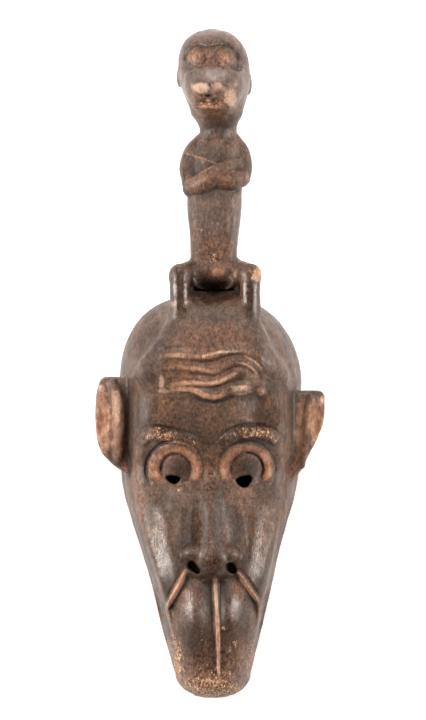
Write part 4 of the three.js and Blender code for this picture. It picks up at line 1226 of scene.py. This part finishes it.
carving = Carving()
carve_face(carving)
carve_ears(carving)
carve_figure(carving)
carve_openings(carving)
mask, points, normals = carved_object(carving)
store(mask.data, finish_and_painted_light_layers(carving, points, normals))
mask.data.materials.append(carved_wood())
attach(mask, "root")
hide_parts("monkey_mask")


def matte(name, tone, glow=0.0):
    material = bpy.data.materials.new(name)
    Nodes(material, "Principled BSDF").finish({
        "Base Color": (*tone, 1), "Roughness": 0.9, "Specular IOR Level": 0.1,
        "Emission Color": (1, 1, 1, 1), "Emission Strength": glow,
    })
    return material


def flat_piece(name, outline, height, material):
    mesh = bpy.data.meshes.new(name)
    mesh.from_pydata([(x, y, height) for x, y in outline], [], [tuple(range(len(outline)))])
    mesh.materials.append(material)
    piece = link(mesh, name)


FLOOR_HALF = 6.0
floor_corners = [(FLOOR_HALF * x, FLOOR_HALF * y) for x, y in ((-1, -1), (1, -1), (1, 1), (-1, 1))]
flat_piece("floor", floor_corners, 0.0, matte("floor_paper", (0.85, 0.85, 0.85), 0.5))

# Black sheet under the mask, painted shade inside its hollow, so that the eye holes look into blackness
SHADE_SHEET_HEIGHT = 0.0006
SHADE_SHEET_INSET = 6
rim_y = np.linspace(-290, 50, 60)
rim_x = half_width(rim_y) - SHADE_SHEET_INSET
right = [(MIDDLE(y) + x, y) for x, y in zip(rim_x, rim_y)]
left = [(MIDDLE(y) - x, y) for x, y in zip(rim_x, rim_y)]
outline = [((x - BOX_MIDDLE[0]) / 1000, (y - BOX_MIDDLE[1]) / 1000) for x, y in right + left[::-1]]
flat_piece("painted_shade_sheet", outline, SHADE_SHEET_HEIGHT, matte("painted_shade_sheet", (0.01, 0.01, 0.01)))


def softbox(name, place, size, watts):
    lamp = bpy.data.lights.new(name, "AREA")
    lamp.shape = "RECTANGLE"
    lamp.size, lamp.size_y = size
    lamp.energy = watts
    box = link(lamp, name)
    box.location = place
    box.rotation_euler = (-Vector(place)).to_track_quat("-Z", "Y").to_euler()


softbox("left_softbox", (-2.2, 0.35, 1.25), (0.8, 1.6), 66)
softbox("right_softbox", (2.2, 0.35, 1.25), (0.8, 1.6), 54)
softbox("top_softbox", (0.0, 1.9, 1.9), (1.4, 0.8), 28)

OVERHEAD_LIGHT = 0.14


def studio_world():
    """A tent of light: white round the horizon and darker overhead."""
    world = bpy.data.worlds.new("studio")
    bpy.context.scene.world = world
    n = Nodes(world, "Background")
    height = n.add("SeparateXYZ", "Z", {"Vector": n.add("TexCoord", "Generated", {})})
    light = n.between(height, 0.12, 0.5, 1.0, OVERHEAD_LIGHT)
    n.finish({"Color": (1, 0.92, 0.85, 1), "Strength": light})


studio_world()

CAMERA_DISTANCE = 6.0
PICTURE_MIDDLE = (0.0027, 0.0038)
PICTURE_HEIGHT = 0.648
FACE_PLANE = 0.05
SENSOR = 36
lens = bpy.data.cameras.new("camera")
lens.sensor_width = SENSOR
lens.lens = SENSOR * (CAMERA_DISTANCE - FACE_PLANE) / PICTURE_HEIGHT
lens.clip_end = 50
camera = link(lens, "camera")
camera.location = (*PICTURE_MIDDLE, CAMERA_DISTANCE)
bpy.context.scene.camera = camera
bpy.context.scene.view_settings.view_transform = "Standard"
